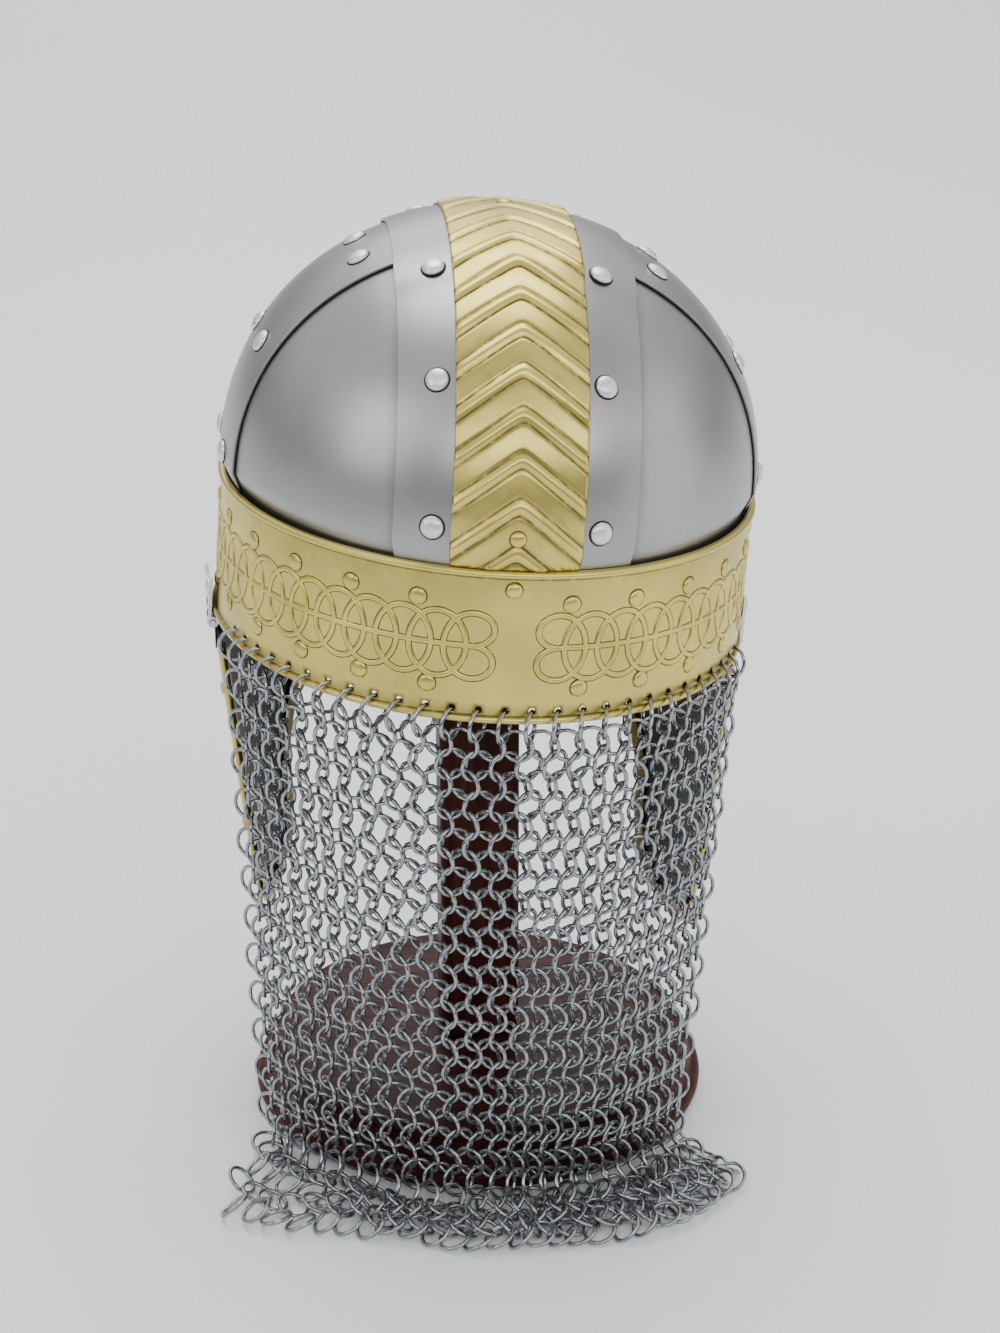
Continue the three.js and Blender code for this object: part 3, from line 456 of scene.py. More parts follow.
def mahogany(name, colour, grain_axis):
    """Stained mahogany under thin varnish: near-black grain lines 2 mm apart in deep red-brown."""
    material, tree, coords = blank(name)
    stretch = [55.0, 55.0, 55.0]
    stretch[grain_axis] = 5.0
    mapped = node(tree, "ShaderNodeMapping", {"Vector": coords}, Scale=stretch).outputs[0]
    grain = noise(tree, mapped, Scale=4.0, Detail=6.0, Roughness=0.6)
    dark, warm = [c * 0.28 for c in colour], [min(1.0, c * 2.1) for c in colour]
    return surfaced(
        material, tree, {
            "Base Color": ramp(tree, grain, [(0.3, dark), (0.55, colour), (0.8, warm)]),
            "Normal": bumped(tree, grain, 0.12, 0.0003)},
        Roughness=0.55, Specular_IOR_Level=0.1, Coat_Weight=0.06, Coat_Roughness=0.12)


def matt_paper(name, colour):
    """Seamless paper: even and matt."""
    material, tree, coords = blank(name)
    return surfaced(material, tree, {"Base Color": mottled(tree, coords, colour, 0.985, 3.0)}, Roughness=0.9)


# The maker of each finish, the colours that it takes, and its roughness or the axis of its grain
FINISHES = {
    "satin_sheet_steel": (satin_steel, ("steel",), (0.36,)),
    "polished_steel": (satin_steel, ("bright_steel",), (0.27,)),
    "stamped_brass": (stamped_brass, ("brass", "patina_and_shade"), ()),
    "zinc_plated_wire": (zinc_wire, ("wire",), ()),
    "oil_blackened_steel": (blackened_steel, ("dark_steel",), ()),
    "varnished_mahogany_board": (mahogany, ("wood",), (2,)),
    "varnished_mahogany_turned": (mahogany, ("wood",), (0,)),
    "matt_paper_floor": (matt_paper, ("floor",), ()),
}


def finish_of(kind):
    """The helmet's material of that kind, made once."""
    found = bpy.data.materials.get(kind)
    if found:
        return found
    maker, names, rest = FINISHES[kind]
    colours = bpy.context.scene.helmet_colours
    return maker(kind, *[tuple(getattr(colours, name)) for name in names], *rest)


# Mesh helpers


def linked(name, data):
    """A new object in the scene, at the origin."""
    made = bpy.data.objects.new(name, data)
    bpy.context.scene.collection.objects.link(made)
    return made


def mesh_object(name, points, faces, kind):
    """An object at the origin from points in metres, smooth, with its faces turned outwards."""
    mesh = bpy.data.meshes.new(name)
    mesh.from_pydata([tuple(p) for p in points], [], faces)
    tidy_faces(mesh)
    mesh.materials.append(finish_of(kind))
    return linked(name, mesh)


def evaluated_mesh(made):
    """A plain mesh of what an object's modifiers make of it."""
    bpy.context.view_layer.update()
    return bpy.data.meshes.new_from_object(made.evaluated_get(bpy.context.evaluated_depsgraph_get()))


def tidy_faces(mesh):
    """Joins points less than 2 micrometres apart, turns the faces outwards and makes them smooth."""
    form = bmesh.new()
    form.from_mesh(mesh)
    bmesh.ops.remove_doubles(form, verts=form.verts, dist=2e-6)
    bmesh.ops.recalc_face_normals(form, faces=form.faces)
    form.to_mesh(mesh)
    form.free()
    mesh.shade_smooth()


def world(points):
    """Points of the helmet's own frame in millimetres, as world points in metres."""
    return [(TO_WORLD @ p) * MM for p in points]


def to_world(place, direction):
    """A place and a direction of the helmet's own frame, as world ones."""
    return (TO_WORLD @ place) * MM, TO_WORLD.to_3x3() @ direction


def in_helmet(vertex):
    """A vertex's place in the helmet's own frame in millimetres."""
    return TO_HELMET @ (vertex.co / MM)


def scaled(points):
    return [Vector(p) * MM for p in points]


def shell(outer, inner):
    """Points and faces of a closed sheet between two grids of points of the same shape."""
    rows, columns = len(outer), len(outer[0])
    points = [p for grid in (outer, inner) for row in grid for p in row]

    def at(side, i, j):
        return (side * rows + i) * columns + j

    faces = []
    for i in range(rows - 1):
        for j in range(columns - 1):
            faces.append([at(0, i, j), at(0, i + 1, j), at(0, i + 1, j + 1), at(0, i, j + 1)])
            faces.append([at(1, i, j), at(1, i, j + 1), at(1, i + 1, j + 1), at(1, i + 1, j)])
        for j in (0, columns - 1):
            faces.append([at(0, i, j), at(1, i, j), at(1, i + 1, j), at(0, i + 1, j)])
    for i in (0, rows - 1):
        for j in range(columns - 1):
            faces.append([at(0, i, j), at(0, i, j + 1), at(1, i, j + 1), at(1, i, j)])
    return points, faces


def tube(rings, closed=False):
    """Points and faces of a skin over rings of points, with its ends capped unless it is closed."""
    count = len(rings[0])
    points = [p for ring in rings for p in ring]
    faces = []
    for i in range(len(rings) if closed else len(rings) - 1):
        here, after = i * count, (i + 1) % len(rings) * count
        for j in range(count):
            k = (j + 1) % count
            faces.append([here + j, here + k, after + k, after + j])
    if not closed:
        faces.append(list(range(count)))
        faces.append(list(range(len(points) - count, len(points))))
    return points, faces


def circle(count):
    return [i / count * 2 * math.pi for i in range(count)]


def joined(forms):
    """The points and faces of several forms as one list of each."""
    points, faces = [], []
    for form_points, form_faces in forms:
        faces += [[i + len(points) for i in face] for face in form_faces]
        points += form_points
    return points, faces


def turned(profile, sides, centre=(0, 0)):
    """Points and faces of a form turned about an upright axis, from radius and height pairs."""
    x, y = centre
    return tube([
        [Vector((x + radius * math.cos(a), y + radius * math.sin(a), height)) for a in circle(sides)]
        for radius, height in profile])


def bevelled(made, width):
    """Breaks the sharp edges of a piece, as a file does."""
    edge = made.modifiers.new("broken edges", "BEVEL")
    edge.width = width * MM
    edge.segments = 2
    edge.limit_method = "ANGLE"
    edge.angle_limit = math.radians(35.0)
    edge.harden_normals = True
    return made


def placed(made, body, slot, nodes):
    """Rides a piece on its body in place of its solids; its slot is not used."""
    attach(made, body)
    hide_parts(*nodes)
    return made


def shade_creases(made, values):
    """Stores how far each point of a piece is darkened: painted shade, and on the brass also patina."""
    attribute = made.data.attributes.new("crease", "FLOAT", "POINT")
    attribute.data.foreach_set("value", values)


def dark_within(made, share):
    """Paints shade on the inner half of a sheet's points, and so on its cut edges: the shade inside the
    helmet and in the gap under a band's edge.
    """
    count = len(made.data.vertices)
    shade_creases(made, [share if i >= count // 2 else 0.0 for i in range(count)])


def all_dark(made):
    shade_creases(made, [1.0] * len(made.data.vertices))
    return made


# Geometry Nodes


def group_tree(name, inputs):
    """A geometry tree with a geometry socket at each end and the named inputs."""
    tree = bpy.data.node_groups.new(name, "GeometryNodeTree")
    tree.interface.new_socket("Geometry", in_out="INPUT", socket_type="NodeSocketGeometry")
    for title, kind in inputs:
        tree.interface.new_socket(title, in_out="INPUT", socket_type=kind)
    tree.interface.new_socket("Geometry", in_out="OUTPUT", socket_type="NodeSocketGeometry")
    return tree, tree.nodes.new("NodeGroupInput").outputs


def end_tree(tree, geometry, material):
    real = node(tree, "GeometryNodeRealizeInstances", {"Geometry": geometry})
    soft = node(tree, "GeometryNodeSetShadeSmooth", {"Geometry": real.outputs[0]})
    coated = node(tree, "GeometryNodeSetMaterial", {"Geometry": soft.outputs[0], "Material": material})
    end = tree.nodes.new("NodeGroupOutput")
    tree.links.new(coated.outputs[0], end.inputs[0])


def turn_of(tree):
    named = node(tree, "GeometryNodeInputNamedAttribute", data_type="FLOAT_VECTOR")
    named.inputs["Name"].default_value = "turn"
    return node(tree, "FunctionNodeEulerToRotation", {"Euler": named.outputs["Attribute"]})


def swept(tree, path, section):
    return node(tree, "GeometryNodeCurveToMesh", {
        "Curve": path.outputs[0], "Profile Curve": section.outputs[0]})


def heads_tree():
    """Sets one form on every point, turned as the point says."""
    tree, given = group_tree("heads on points", [
        ("Form", "NodeSocketObject"), ("Size", "NodeSocketFloat"), ("Finish", "NodeSocketMaterial")])
    form = node(tree, "GeometryNodeObjectInfo", {"Object": given["Form"]})
    spots = node(tree, "GeometryNodeInstanceOnPoints", {
        "Points": given["Geometry"], "Instance": form.outputs["Geometry"],
        "Rotation": turn_of(tree).outputs[0], "Scale": given["Size"]})
    end_tree(tree, spots.outputs[0], given["Finish"])
    return tree


def rings_tree():
    """Sets a round wire ring on every point, turned as the point says."""
    tree, given = group_tree("mail rings on points", [
        ("Ring Radius", "NodeSocketFloat"), ("Wire Radius", "NodeSocketFloat"),
        ("Ring Sides", "NodeSocketInt"), ("Wire Sides", "NodeSocketInt"), ("Finish", "NodeSocketMaterial")])
    path = node(tree, "GeometryNodeCurvePrimitiveCircle", {
        "Radius": given["Ring Radius"], "Resolution": given["Ring Sides"]})
    section = node(tree, "GeometryNodeCurvePrimitiveCircle", {
        "Radius": given["Wire Radius"], "Resolution": given["Wire Sides"]})
    ring = swept(tree, path, section)
    spots = node(tree, "GeometryNodeInstanceOnPoints", {
        "Points": given["Geometry"], "Instance": ring.outputs[0], "Rotation": turn_of(tree).outputs[0]})
    end_tree(tree, spots.outputs[0], given["Finish"])
    return tree


def lines_tree():
    """Draws a flattened raised line along every edge path on the level."""
    tree, given = group_tree("raised lines on paths", [
        ("Half Width", "NodeSocketFloat"), ("Height", "NodeSocketFloat"),
        ("Line Sides", "NodeSocketInt"), ("Finish", "NodeSocketMaterial")])
    path = node(tree, "GeometryNodeMeshToCurve", {"Mesh": given["Geometry"]})
    level = node(tree, "GeometryNodeSetCurveNormal", {"Curve": path.outputs[0]}, mode="Z_UP")
    circle = node(tree, "GeometryNodeCurvePrimitiveCircle", {"Resolution": given["Line Sides"]}, Radius=1.0)
    flat = node(tree, "ShaderNodeCombineXYZ", {"X": given["Half Width"], "Y": given["Height"]})
    section = node(tree, "GeometryNodeTransform", {"Geometry": circle.outputs[0], "Scale": flat.outputs[0]})
    line = swept(tree, level, section)
    line.inputs["Fill Caps"].default_value = True
    end_tree(tree, line.outputs[0], given["Finish"])
    return tree


def grown(name, source, tree, values):
    """Runs a geometry tree on a source object and keeps its result as a plain mesh."""
    live = source.modifiers.new("grown", "NODES")
    live.node_group = tree
    for item in tree.interface.items_tree:
        if item.in_out == "INPUT" and item.name in values:
            live[item.identifier] = values[item.name]
    mesh = evaluated_mesh(source)
    mesh.name = name
    source.modifiers.remove(live)
    bpy.data.objects.remove(source)
    tidy_faces(mesh)
    return linked(name, mesh)


def point_cloud(name, places, turns):
    """A mesh of loose points in metres with a stored turn for each."""
    mesh = bpy.data.meshes.new(name)
    mesh.from_pydata([tuple(p) for p in places], [], [])
    attribute = mesh.attributes.new("turn", "FLOAT_VECTOR", "POINT")
    attribute.data.foreach_set("vector", [c for turn in turns for c in turn])
    return linked(name, mesh)


def facing(direction):
    """The turn that points a form's own +Z along a direction."""
    return tuple(direction.to_track_quat("Z", "Y").to_euler())


def heads(name, spots, profile, size, kind, home, sides=20, dark=False):
    """One piece of heads or bosses on spots of place and direction. Home is its body, slot and nodes."""
    form = mesh_object("head form", *turned(profile, sides), kind)
    cloud = point_cloud("head spots", [s[0] for s in spots], [facing(s[1]) for s in spots])
    made = grown(name, cloud, heads_tree(), {"Form": form, "Size": size, "Finish": finish_of(kind)})
    bpy.data.objects.remove(form)
    return placed(all_dark(made) if dark else made, *home)


def dome(height, rim=0.12):
    """Radius and height pairs of a domed head one unit in radius, with a short upright rim."""
    steps = 6
    profile = [(0.96, -0.25), (1.0, 0.0), (1.0, rim * height)]
    for i in range(1, steps):
        angle = i / steps * math.pi / 2
        profile.append((math.cos(angle) ** 0.9, (rim + (1 - rim) * math.sin(angle)) * height))
    return [*profile, (0.02, height)]


def spread(low, high, count):
    return [low + (high - low) * i / (count - 1) for i in range(count)]


def mirrored(values):
    """Values on both sides of zero, and zero."""
    return [*[-value for value in reversed(values)], 0.0, *values]


# Crown

# Painted shade on a panel beside the crest band's edge, where the band stands over it, and how far it reaches
SEAM_SHADE = 0.4
SEAM_WIDTH = 3.2


def crown_sheet(name, rows, height, thickness, share):
    """A steel sheet from rows of azimuth and rise, its outer face at a height that the place gives."""
    grids = [
        [[crown_point(*spot, height(crown_point(*spot, 0)) - depth) for spot in row] for row in rows]
        for depth in (0.0, thickness)]
    points, faces = shell(*grids)
    made = mesh_object(f"dressed_{name}", world(points), faces, "satin_sheet_steel")
    # Painted shade on the inner face and the cut edges
    dark_within(made, share)
    return made


def crown_panel(end, hand):
    sign = 1 if end == "rear" else -1
    half = crown_half(sign)
    rows = []
    for turn in spread(math.asin(PANEL_INSET / half), math.acos(PANEL_INSET / CROWN_HALF_WIDTH), 44):
        azimuth = sign * (turn if SIDES[hand] > 0 else math.pi - turn)
        near = max(PANEL_INSET / (CROWN_HALF_WIDTH * math.cos(turn)), PANEL_INSET / (half * math.sin(turn)))
        top = math.acos(min(1.0, near) ** (CROWN_FULLNESS / 2))
        rows.append([(azimuth, rise) for rise in (*SKIRT_RISES, *spread(0.0, top, 40))])
    name = f"panel_{end}_{hand}"
    made = crown_sheet(name, rows, lambda place: 0.0, PANEL_THICKNESS, 0.7)
    # Painted shade on the panel's outer face beside the crest band's edges
    crease = made.data.attributes["crease"].data
    for vertex in made.data.vertices[:len(made.data.vertices) // 2]:
        beside = abs(in_helmet(vertex).x) - CREST_HALF_WIDTH
        crease[vertex.index].value = SEAM_SHADE * max(0.0, 1 - max(0.0, beside) / SEAM_WIDTH)
    placed(bevelled(made, 0.25), "helmet", "crown_steel", [name])


def side_band(hand):
    side = SIDES[hand]
    rows = []
    for y in spread(-SIDE_HALF_WIDTH, SIDE_HALF_WIDTH, 21):
        azimuth = math.asin(y / crown_half(y))
        reach = CROWN_HALF_WIDTH * math.sqrt(1 - (y / crown_half(y)) ** 2)
        end = math.acos(SIDE_INNER_END / reach)
        rows.append([
            *[(azimuth if side > 0 else math.pi - azimuth, rise) for rise in SKIRT_RISES],
            *[crown_at(side * reach * math.cos(share * end), y) for share in spread(0.0, 1.0, 48)]])
    made = crown_sheet(f"side_band_{hand}", rows, lambda place: SIDE_OUTER, BAND_THICKNESS, 0.6)
    placed(bevelled(made, 0.4), "helmet", "crown_steel", [f"side_band_{hand}"])


def crest_band():
    skirt = CROWN_SKIRT / CHEVRON_RADIUS
    arch = spread(-0.08, math.pi + 0.08, 150)
    angles = [-skirt, -skirt / 2, *arch, math.pi + skirt / 2, math.pi + skirt]
    rows = [[on_crest(across, angle) for angle in angles]
            for across in spread(-CREST_HALF_WIDTH, CREST_HALF_WIDTH, 29)]
    made = crown_sheet("crest_band", rows, crest_outer, BAND_THICKNESS, 1.0)
    placed(bevelled(made, 0.3), "helmet", "crown_steel", ["crest_band"])


class HELMET_OT_crown(bpy.types.Operator):
    """Builds the four crown panels, the side bands and the crest band"""

    bl_idname = "helmet.crown"
    bl_label = "Crown"

    def execute(self, context):
        for end in ("rear", "front"):
            for hand in ("left", "right"):
                crown_panel(end, hand)
        for hand in ("left", "right"):
            side_band(hand)
        crest_band()
        return {"FINISHED"}


# Ridge strip

# Half of a chevron's width along the strip, and of the groove outside it
CHEVRON_HALF = 2.9
GROOVE_WIDTH = 1.0
GROOVE_DEPTH = 0.22
# Rows of points along the strip from each chevron's middle, with one more in the gap behind it
CHEVRON_STEPS = (0.7, 1.4, 2.0, 2.5, 2.9, 3.1, 3.5, 3.9, 5.0, 6.5)
GAP_STEP = -8.1
# Columns of points as shares of the strip's half width
STRIP_SHARES = (0.04, 0.09, 0.15, 0.22, 0.3, 0.4, 0.52, 0.64, 0.76, 0.88, 0.96, 1.0)
# Radius that rounds a chevron's tip, and the strip's edge where a chevron fades out
TIP_RADIUS = 1.6
EDGE_FADE = 0.9


def chevron_rise(along, height):
    """Height of the pressed strip at a distance along it from a chevron's middle, and its crease."""
    away = abs(along)
    if away < CHEVRON_HALF:
        return height * math.cos(away / CHEVRON_HALF * math.pi / 2) ** 1.3, smooth((away - 2.1) / 0.8) * 0.8
    into = (away - CHEVRON_HALF) / GROOVE_WIDTH
    if into < 1:
        return -GROOVE_DEPTH * math.sin(into * math.pi), 1.0 - 0.6 * into
    fade = away - CHEVRON_HALF - GROOVE_WIDTH
    return 0.0, max(0.0, 0.35 - 0.2 * fade)


class HELMET_OT_ridge_strip(bpy.types.Operator):
    """Builds the brass ridge strip with its pressed chevrons"""

    bl_idname = "helmet.ridge_strip"
    bl_label = "Ridge strip"

    def execute(self, context):
        height = context.scene.helmet_sizes.chevron_height / MM
        low, high = -TUCK_DROP, math.pi * CHEVRON_RADIUS + TUCK_DROP
        steps = [GAP_STEP, *mirrored(CHEVRON_STEPS)]
        rows = [(i * CHEVRON_PITCH, step) for i in range(-1, 22) for step in steps]
        grids, creases = [], []
        for depth in (0.0, STRIP_THICKNESS):
            grid = []
            for share in mirrored(STRIP_SHARES):
                across = share * STRIP_HALF_WIDTH
                drop = CHEVRON_DROP / STRIP_HALF_WIDTH * (math.hypot(across, TIP_RADIUS) - TIP_RADIUS)
                held = smooth((STRIP_HALF_WIDTH - abs(across)) / EDGE_FADE + 0.45)
                column = []
                for middle, step in rows:
                    along = min(high, max(low, middle + step - drop))
                    spot = on_crest(across, along / CHEVRON_RADIUS)
                    rise, crease = chevron_rise(along - middle + drop, height)
                    offset = strip_outer(crown_point(*spot, 0)) - depth + rise * held
                    column.append(crown_point(*spot, offset))
                    creases.append(crease)
                grid.append(column)
            grids.append(grid)
        points, faces = shell(*grids)
        # Joining the points renumbers them, so each crease is found again by its place
        crease_at = {rounded(place): crease for place, crease in zip(points, creases)}
        made = mesh_object("dressed_ridge_strip", world(points), faces, "stamped_brass")
        shade_creases(made, [crease_at.get(rounded(in_helmet(v)), 0.2) for v in made.data.vertices])
        placed(made, "helmet", "brass", ["ridge_strip"])
        return {"FINISHED"}


def rounded(place):
    return tuple(round(c, 3) for c in place)


# Brow band

# Outline of a rolled lip, out from the band's face and in from its edge
LIP = ((0.3, 0.0), (1.0, 0.35), (1.4, 1.2), (1.25, 2.0), (0.6, 2.6), (0.0, 2.85))
LIP_HEIGHT = LIP[-1][1]
BROW_PROFILE = (
    (-BROW_THICKNESS, 0.0), *LIP,
    (0.0, 3.2), (0.0, 7.5), (0.0, 16.0), (0.0, 29.0), (0.0, 42.0), (0.0, BROW_HEIGHT - 3.4),
    *[(out, BROW_HEIGHT - rise) for out, rise in reversed(LIP)], (-BROW_THICKNESS, BROW_HEIGHT),
    (-BROW_THICKNESS, 42.0), (-BROW_THICKNESS, 16.0), (-BROW_THICKNESS, 7.5), (-BROW_THICKNESS, 3.0))
# Taken off a ring hole's radius, as the wire fills the rest
HOLE_TRIM = 0.55
INTERLACE_MIDDLE = 28.9
# Girth from the rear's middle to the centre of each panel's end circle, on the left and right
PANEL_STARTS = {1: 13.65, -1: 17.75}
# Width of the two round lobes that close each end of a panel
LOBE_WIDTH = 7.7
# Side, girth of the first boss and height of each row of bosses
BOSS_ROWS = ((1, 34.6, 45.2), (1, 29.3, 13.1), (-1, 21.8, 45.2), (-1, 26.9, 13.1))
# Radius and height pairs of the dark rim at a boss's foot, one boss in radius
BOSS_RIM = ((1.02, -0.2), (1.1, 0.0), (1.06, 0.035), (0.9, 0.04))
BROW_HOME = ("helmet", "brass", ["brow_band"])


def brow_sheet():
    points, faces = tube(
        [[brow_point(azimuth, height, out) for out, height in BROW_PROFILE] for azimuth in circle(264)],
        closed=True)
    made = mesh_object("dressed_brow_band", world(points), faces, "stamped_brass")
    # Darkens the band beside each rolled lip: patina in the crease and painted shade cast by the lip
    values = []
    for vertex in made.data.vertices:
        height = in_helmet(vertex).z
        near = min(abs(height - LIP_HEIGHT), abs(height - BROW_HEIGHT + LIP_HEIGHT))
        values.append(max(0.0, 0.9 - near / 0.8))
    shade_creases(made, values)
    holes = []
    for i in range(RING_COUNT):
        azimuth = azimuth_at((i - (RING_COUNT - 1) / 2) * RING_SPACING)
        holes.append((brow_point(azimuth, RING_HOLE_RISE, 0), brow_normal(azimuth, 0)))
    pierced(made, holes, RING_HOLE_RADIUS - HOLE_TRIM)
    return made


def pierced(made, holes, radius):
    """Bores round holes with dark rims of painted shadow through a piece, at places and directions of the
    helmet's frame.
    """
    forms = []
    for place, direction in holes:
        turn = direction.to_track_quat("Z", "Y").to_matrix()
        points, faces = turned([(radius, -5.0), (radius, 5.0)], 14)
        forms.append(([place + turn @ p for p in points], faces))
    points, faces = joined(forms)
    cutter = mesh_object("hole cutter", world(points), faces, "stamped_brass")
    bore = made.modifiers.new("bored", "BOOLEAN")
    bore.object = cutter
    bore.solver = "EXACT"
    mesh = evaluated_mesh(made)
    made.modifiers.remove(bore)
    bpy.data.objects.remove(cutter)
    made.data = mesh
    # Painted shadow on the walls of each hole
    crease = mesh.attributes["crease"].data
    for vertex in mesh.vertices:
        for middle, direction in holes:
            away = in_helmet(vertex) - middle
            if (away - direction * away.dot(direction)).length < radius + 0.05:
                crease[vertex.index].value = 0.9
    mesh.shade_smooth()
    mesh.set_sharp_from_angle(angle=math.radians(50))


def interlace_paths(sizes):
    """The interlace as lists of girth and height pairs, each with whether it is a closed loop."""
    wide, high = sizes.loop_half_width / MM, sizes.loop_half_height / MM
    pitch = sizes.loop_pitch / MM
    paths = []
    for side, start in PANEL_STARTS.items():
        count = int((HALF_GIRTH - 16 - start) / pitch)
        last = start + count * pitch
        for i in range(1, count):
            loop = [(side * (start + i * pitch + wide * math.cos(t)), INTERLACE_MIDDLE + high * math.sin(t))
                    for t in circle(40)]
            paths.append((loop, True))
        for centre, away in ((start, 1), (last, -1)):
            for up in (1, -1):
                path = []
                for k in range(13):
                    t = k / 12 * math.pi / 2
                    path.append((side * (centre + away * wide * math.cos(t)),
                                 INTERLACE_MIDDLE + up * high * math.sin(t)))
                for k in range(1, 19):
                    t = k / 18 * math.pi * 0.98
                    path.append((side * (centre - away * LOBE_WIDTH * math.sin(t)),
                                 INTERLACE_MIDDLE + up * high / 2 * (1 + math.cos(t))))
                paths.append((path, False))
        paths.append(([(side * girth, INTERLACE_MIDDLE) for girth in spread(start, last, 121)], False))
    return paths


def raised_lines(name, paths, half_width, height):
    """One piece of flattened brass lines, drawn level and then wrapped round the brow band's face."""
    points, edges = [], []
    for path, closed in paths:
        first = len(points)
        points += [(girth * MM, rise * MM, 0.0) for girth, rise in path]
        edges += [(i, i + 1) for i in range(first, len(points) - 1)]
        if closed:
            edges.append((len(points) - 1, first))
    mesh = bpy.data.meshes.new(name)
    mesh.from_pydata(points, edges, [])
    made = grown(name, linked("line paths", mesh), lines_tree(), {
        "Half Width": half_width, "Height": height, "Line Sides": 10, "Finish": finish_of("stamped_brass")})
    for vertex in made.data.vertices:
        girth, rise, out = vertex.co / MM
        vertex.co = (TO_WORLD @ on_band(girth, rise, out)) * MM
    tidy_faces(made.data)
    return made


def boss_spots(pitch):
    """World places and directions of the bosses above and below the interlace."""
    spots = []
    for side, girth, height in BOSS_ROWS:
        while girth < HALF_GIRTH - 14:
            azimuth = azimuth_at(side * girth)
            spots.append(to_world(brow_point(azimuth, height, 0), brow_normal(azimuth, height)))
            girth += pitch
    return spots


class HELMET_OT_brow_band(bpy.types.Operator):
    """Builds the stamped brow band with its interlace, bosses and ring holes"""

    bl_idname = "helmet.brow_band"
    bl_label = "Brow band"

    def execute(self, context):
        sizes = context.scene.helmet_sizes
        placed(brow_sheet(), *BROW_HOME)
        paths = interlace_paths(sizes)
        lines = raised_lines("dressed_interlace", paths, sizes.line_half_width, sizes.line_height)
        placed(lines, *BROW_HOME)
        # A wider, lower dark line under each raised line: patina and painted shade at the lines' foot
        edges = raised_lines("dressed_interlace_edge", paths, sizes.line_half_width * 1.22, 0.1 * MM)
        placed(all_dark(edges), *BROW_HOME)
        spots, radius = boss_spots(sizes.boss_pitch / MM), sizes.boss_radius
        heads("dressed_bosses", spots, boss_profile(), radius, "stamped_brass", BROW_HOME)
        heads("dressed_boss_edges", spots, BOSS_RIM, radius, "stamped_brass", BROW_HOME, dark=True)
        return {"FINISHED"}


def boss_profile():
    """A low pressed dome one unit in radius."""
    profile = [(1.0, -0.2), (1.0, 0.0)]
    for i in range(1, 7):
        angle = i / 7 * math.pi / 2
        profile.append((math.cos(angle), 0.36 * math.sin(angle)))
    return [*profile, (0.02, 0.36)]


# Rivets

CREST_RIVET_ACROSS = 30.0
CREST_RIVET_RISES = (4.0, 36.0, 66.0)
SIDE_RIVET_ACROSS = 13.0
SIDE_RIVET_RISES = (2.0, 28.5, 57.0)
STRIP_RIVET_ANGLES = (3.0, 97.0, 177.0)
# Drop of a brow band rivet from the band's upper edge
BROW_RIVET_DROP = 7.0
# Radius and height pairs of a dark ring at a rivet's foot, one head in radius: a painted contact shadow
RIVET_SHADOW = ((1.0, -0.25), (1.12, 0.0), (1.06, 0.05), (0.9, 0.06))


def rivet_spots():
    """Name, azimuth, rise and the surface height of every crown rivet."""
    spots = []
    for end, sign in (("rear", 1), ("front", -1)):
        for hand, side in SIDES.items():
            for row, rise in enumerate(CREST_RIVET_RISES, 1):
                angle = math.radians(rise if sign > 0 else 180 - rise)
                spot = on_crest(side * CREST_RIVET_ACROSS, angle)
                spots.append((f"rivet_crest_{end}_{hand}_{row}", *spot, crest_outer))
            for row, rise in enumerate(SIDE_RIVET_RISES, 1):
                x = side * CROWN_HALF_WIDTH * math.cos(math.radians(rise)) * 0.992
                spot = crown_at(x, sign * SIDE_RIVET_ACROSS)
                spots.append((f"rivet_side_{end}_{hand}_{row}", *spot, lambda place: SIDE_OUTER))
    for row, angle in enumerate(STRIP_RIVET_ANGLES, 1):
        spots.append((f"rivet_strip_{row}", *on_crest(0.0, math.radians(angle)), strip_outer))
    return spots


class HELMET_OT_rivets(bpy.types.Operator):
    """Sets the steel and brass rivets of the crown and the brow band"""

    bl_idname = "helmet.rivets"
    bl_label = "Rivets"

    def execute(self, context):
        sizes = context.scene.helmet_sizes
        steel, brass = {}, {}
        for name, azimuth, rise, height in rivet_spots():
            seat = crown_point(azimuth, rise, height(crown_point(azimuth, rise, 0)))
            group = brass if name.startswith("rivet_strip") else steel
            group[name] = to_world(seat, crown_normal(azimuth, rise))
        for end, azimuth in (("rear", math.pi / 2), ("front", -math.pi / 2)):
            height = BROW_HEIGHT - BROW_RIVET_DROP
            place = brow_point(azimuth, height, 0)
            brass[f"rivet_brow_{end}"] = to_world(place, brow_normal(azimuth, height))
        at_steel, at_brass = list(steel.values()), list(brass.values())
        of_steel, of_brass = ("helmet", "polished_steel", list(steel)), ("helmet", "brass", list(brass))
        radius = sizes.steel_head
        heads("dressed_steel_rivets", at_steel, dome(0.52), radius, "polished_steel", of_steel)
        # A dark ring at each steel rivet's foot, in the guards' blackened finish: painted contact shadow
        heads("dressed_steel_rivet_seats", at_steel, RIVET_SHADOW, radius, "oil_blackened_steel", of_steel)
        radius = sizes.brass_head
        heads("dressed_brass_rivets", at_brass, dome(0.55), radius, "stamped_brass", of_brass)
        # A ring at each brass rivet's foot, darkened all over: painted contact shadow
        heads("dressed_brass_rivet_edges", at_brass, RIVET_SHADOW, radius, "stamped_brass", of_brass, dark=True)
        return {"FINISHED"}


# Mail

# By side: degrees from the rear's middle where the curtain's end meets the table, and the hem's share of them
CONTACT_TURNS = {1: 62.0, -1: 47.0}
HEM_SHARES = {1: 0.775, -1: 0.95}
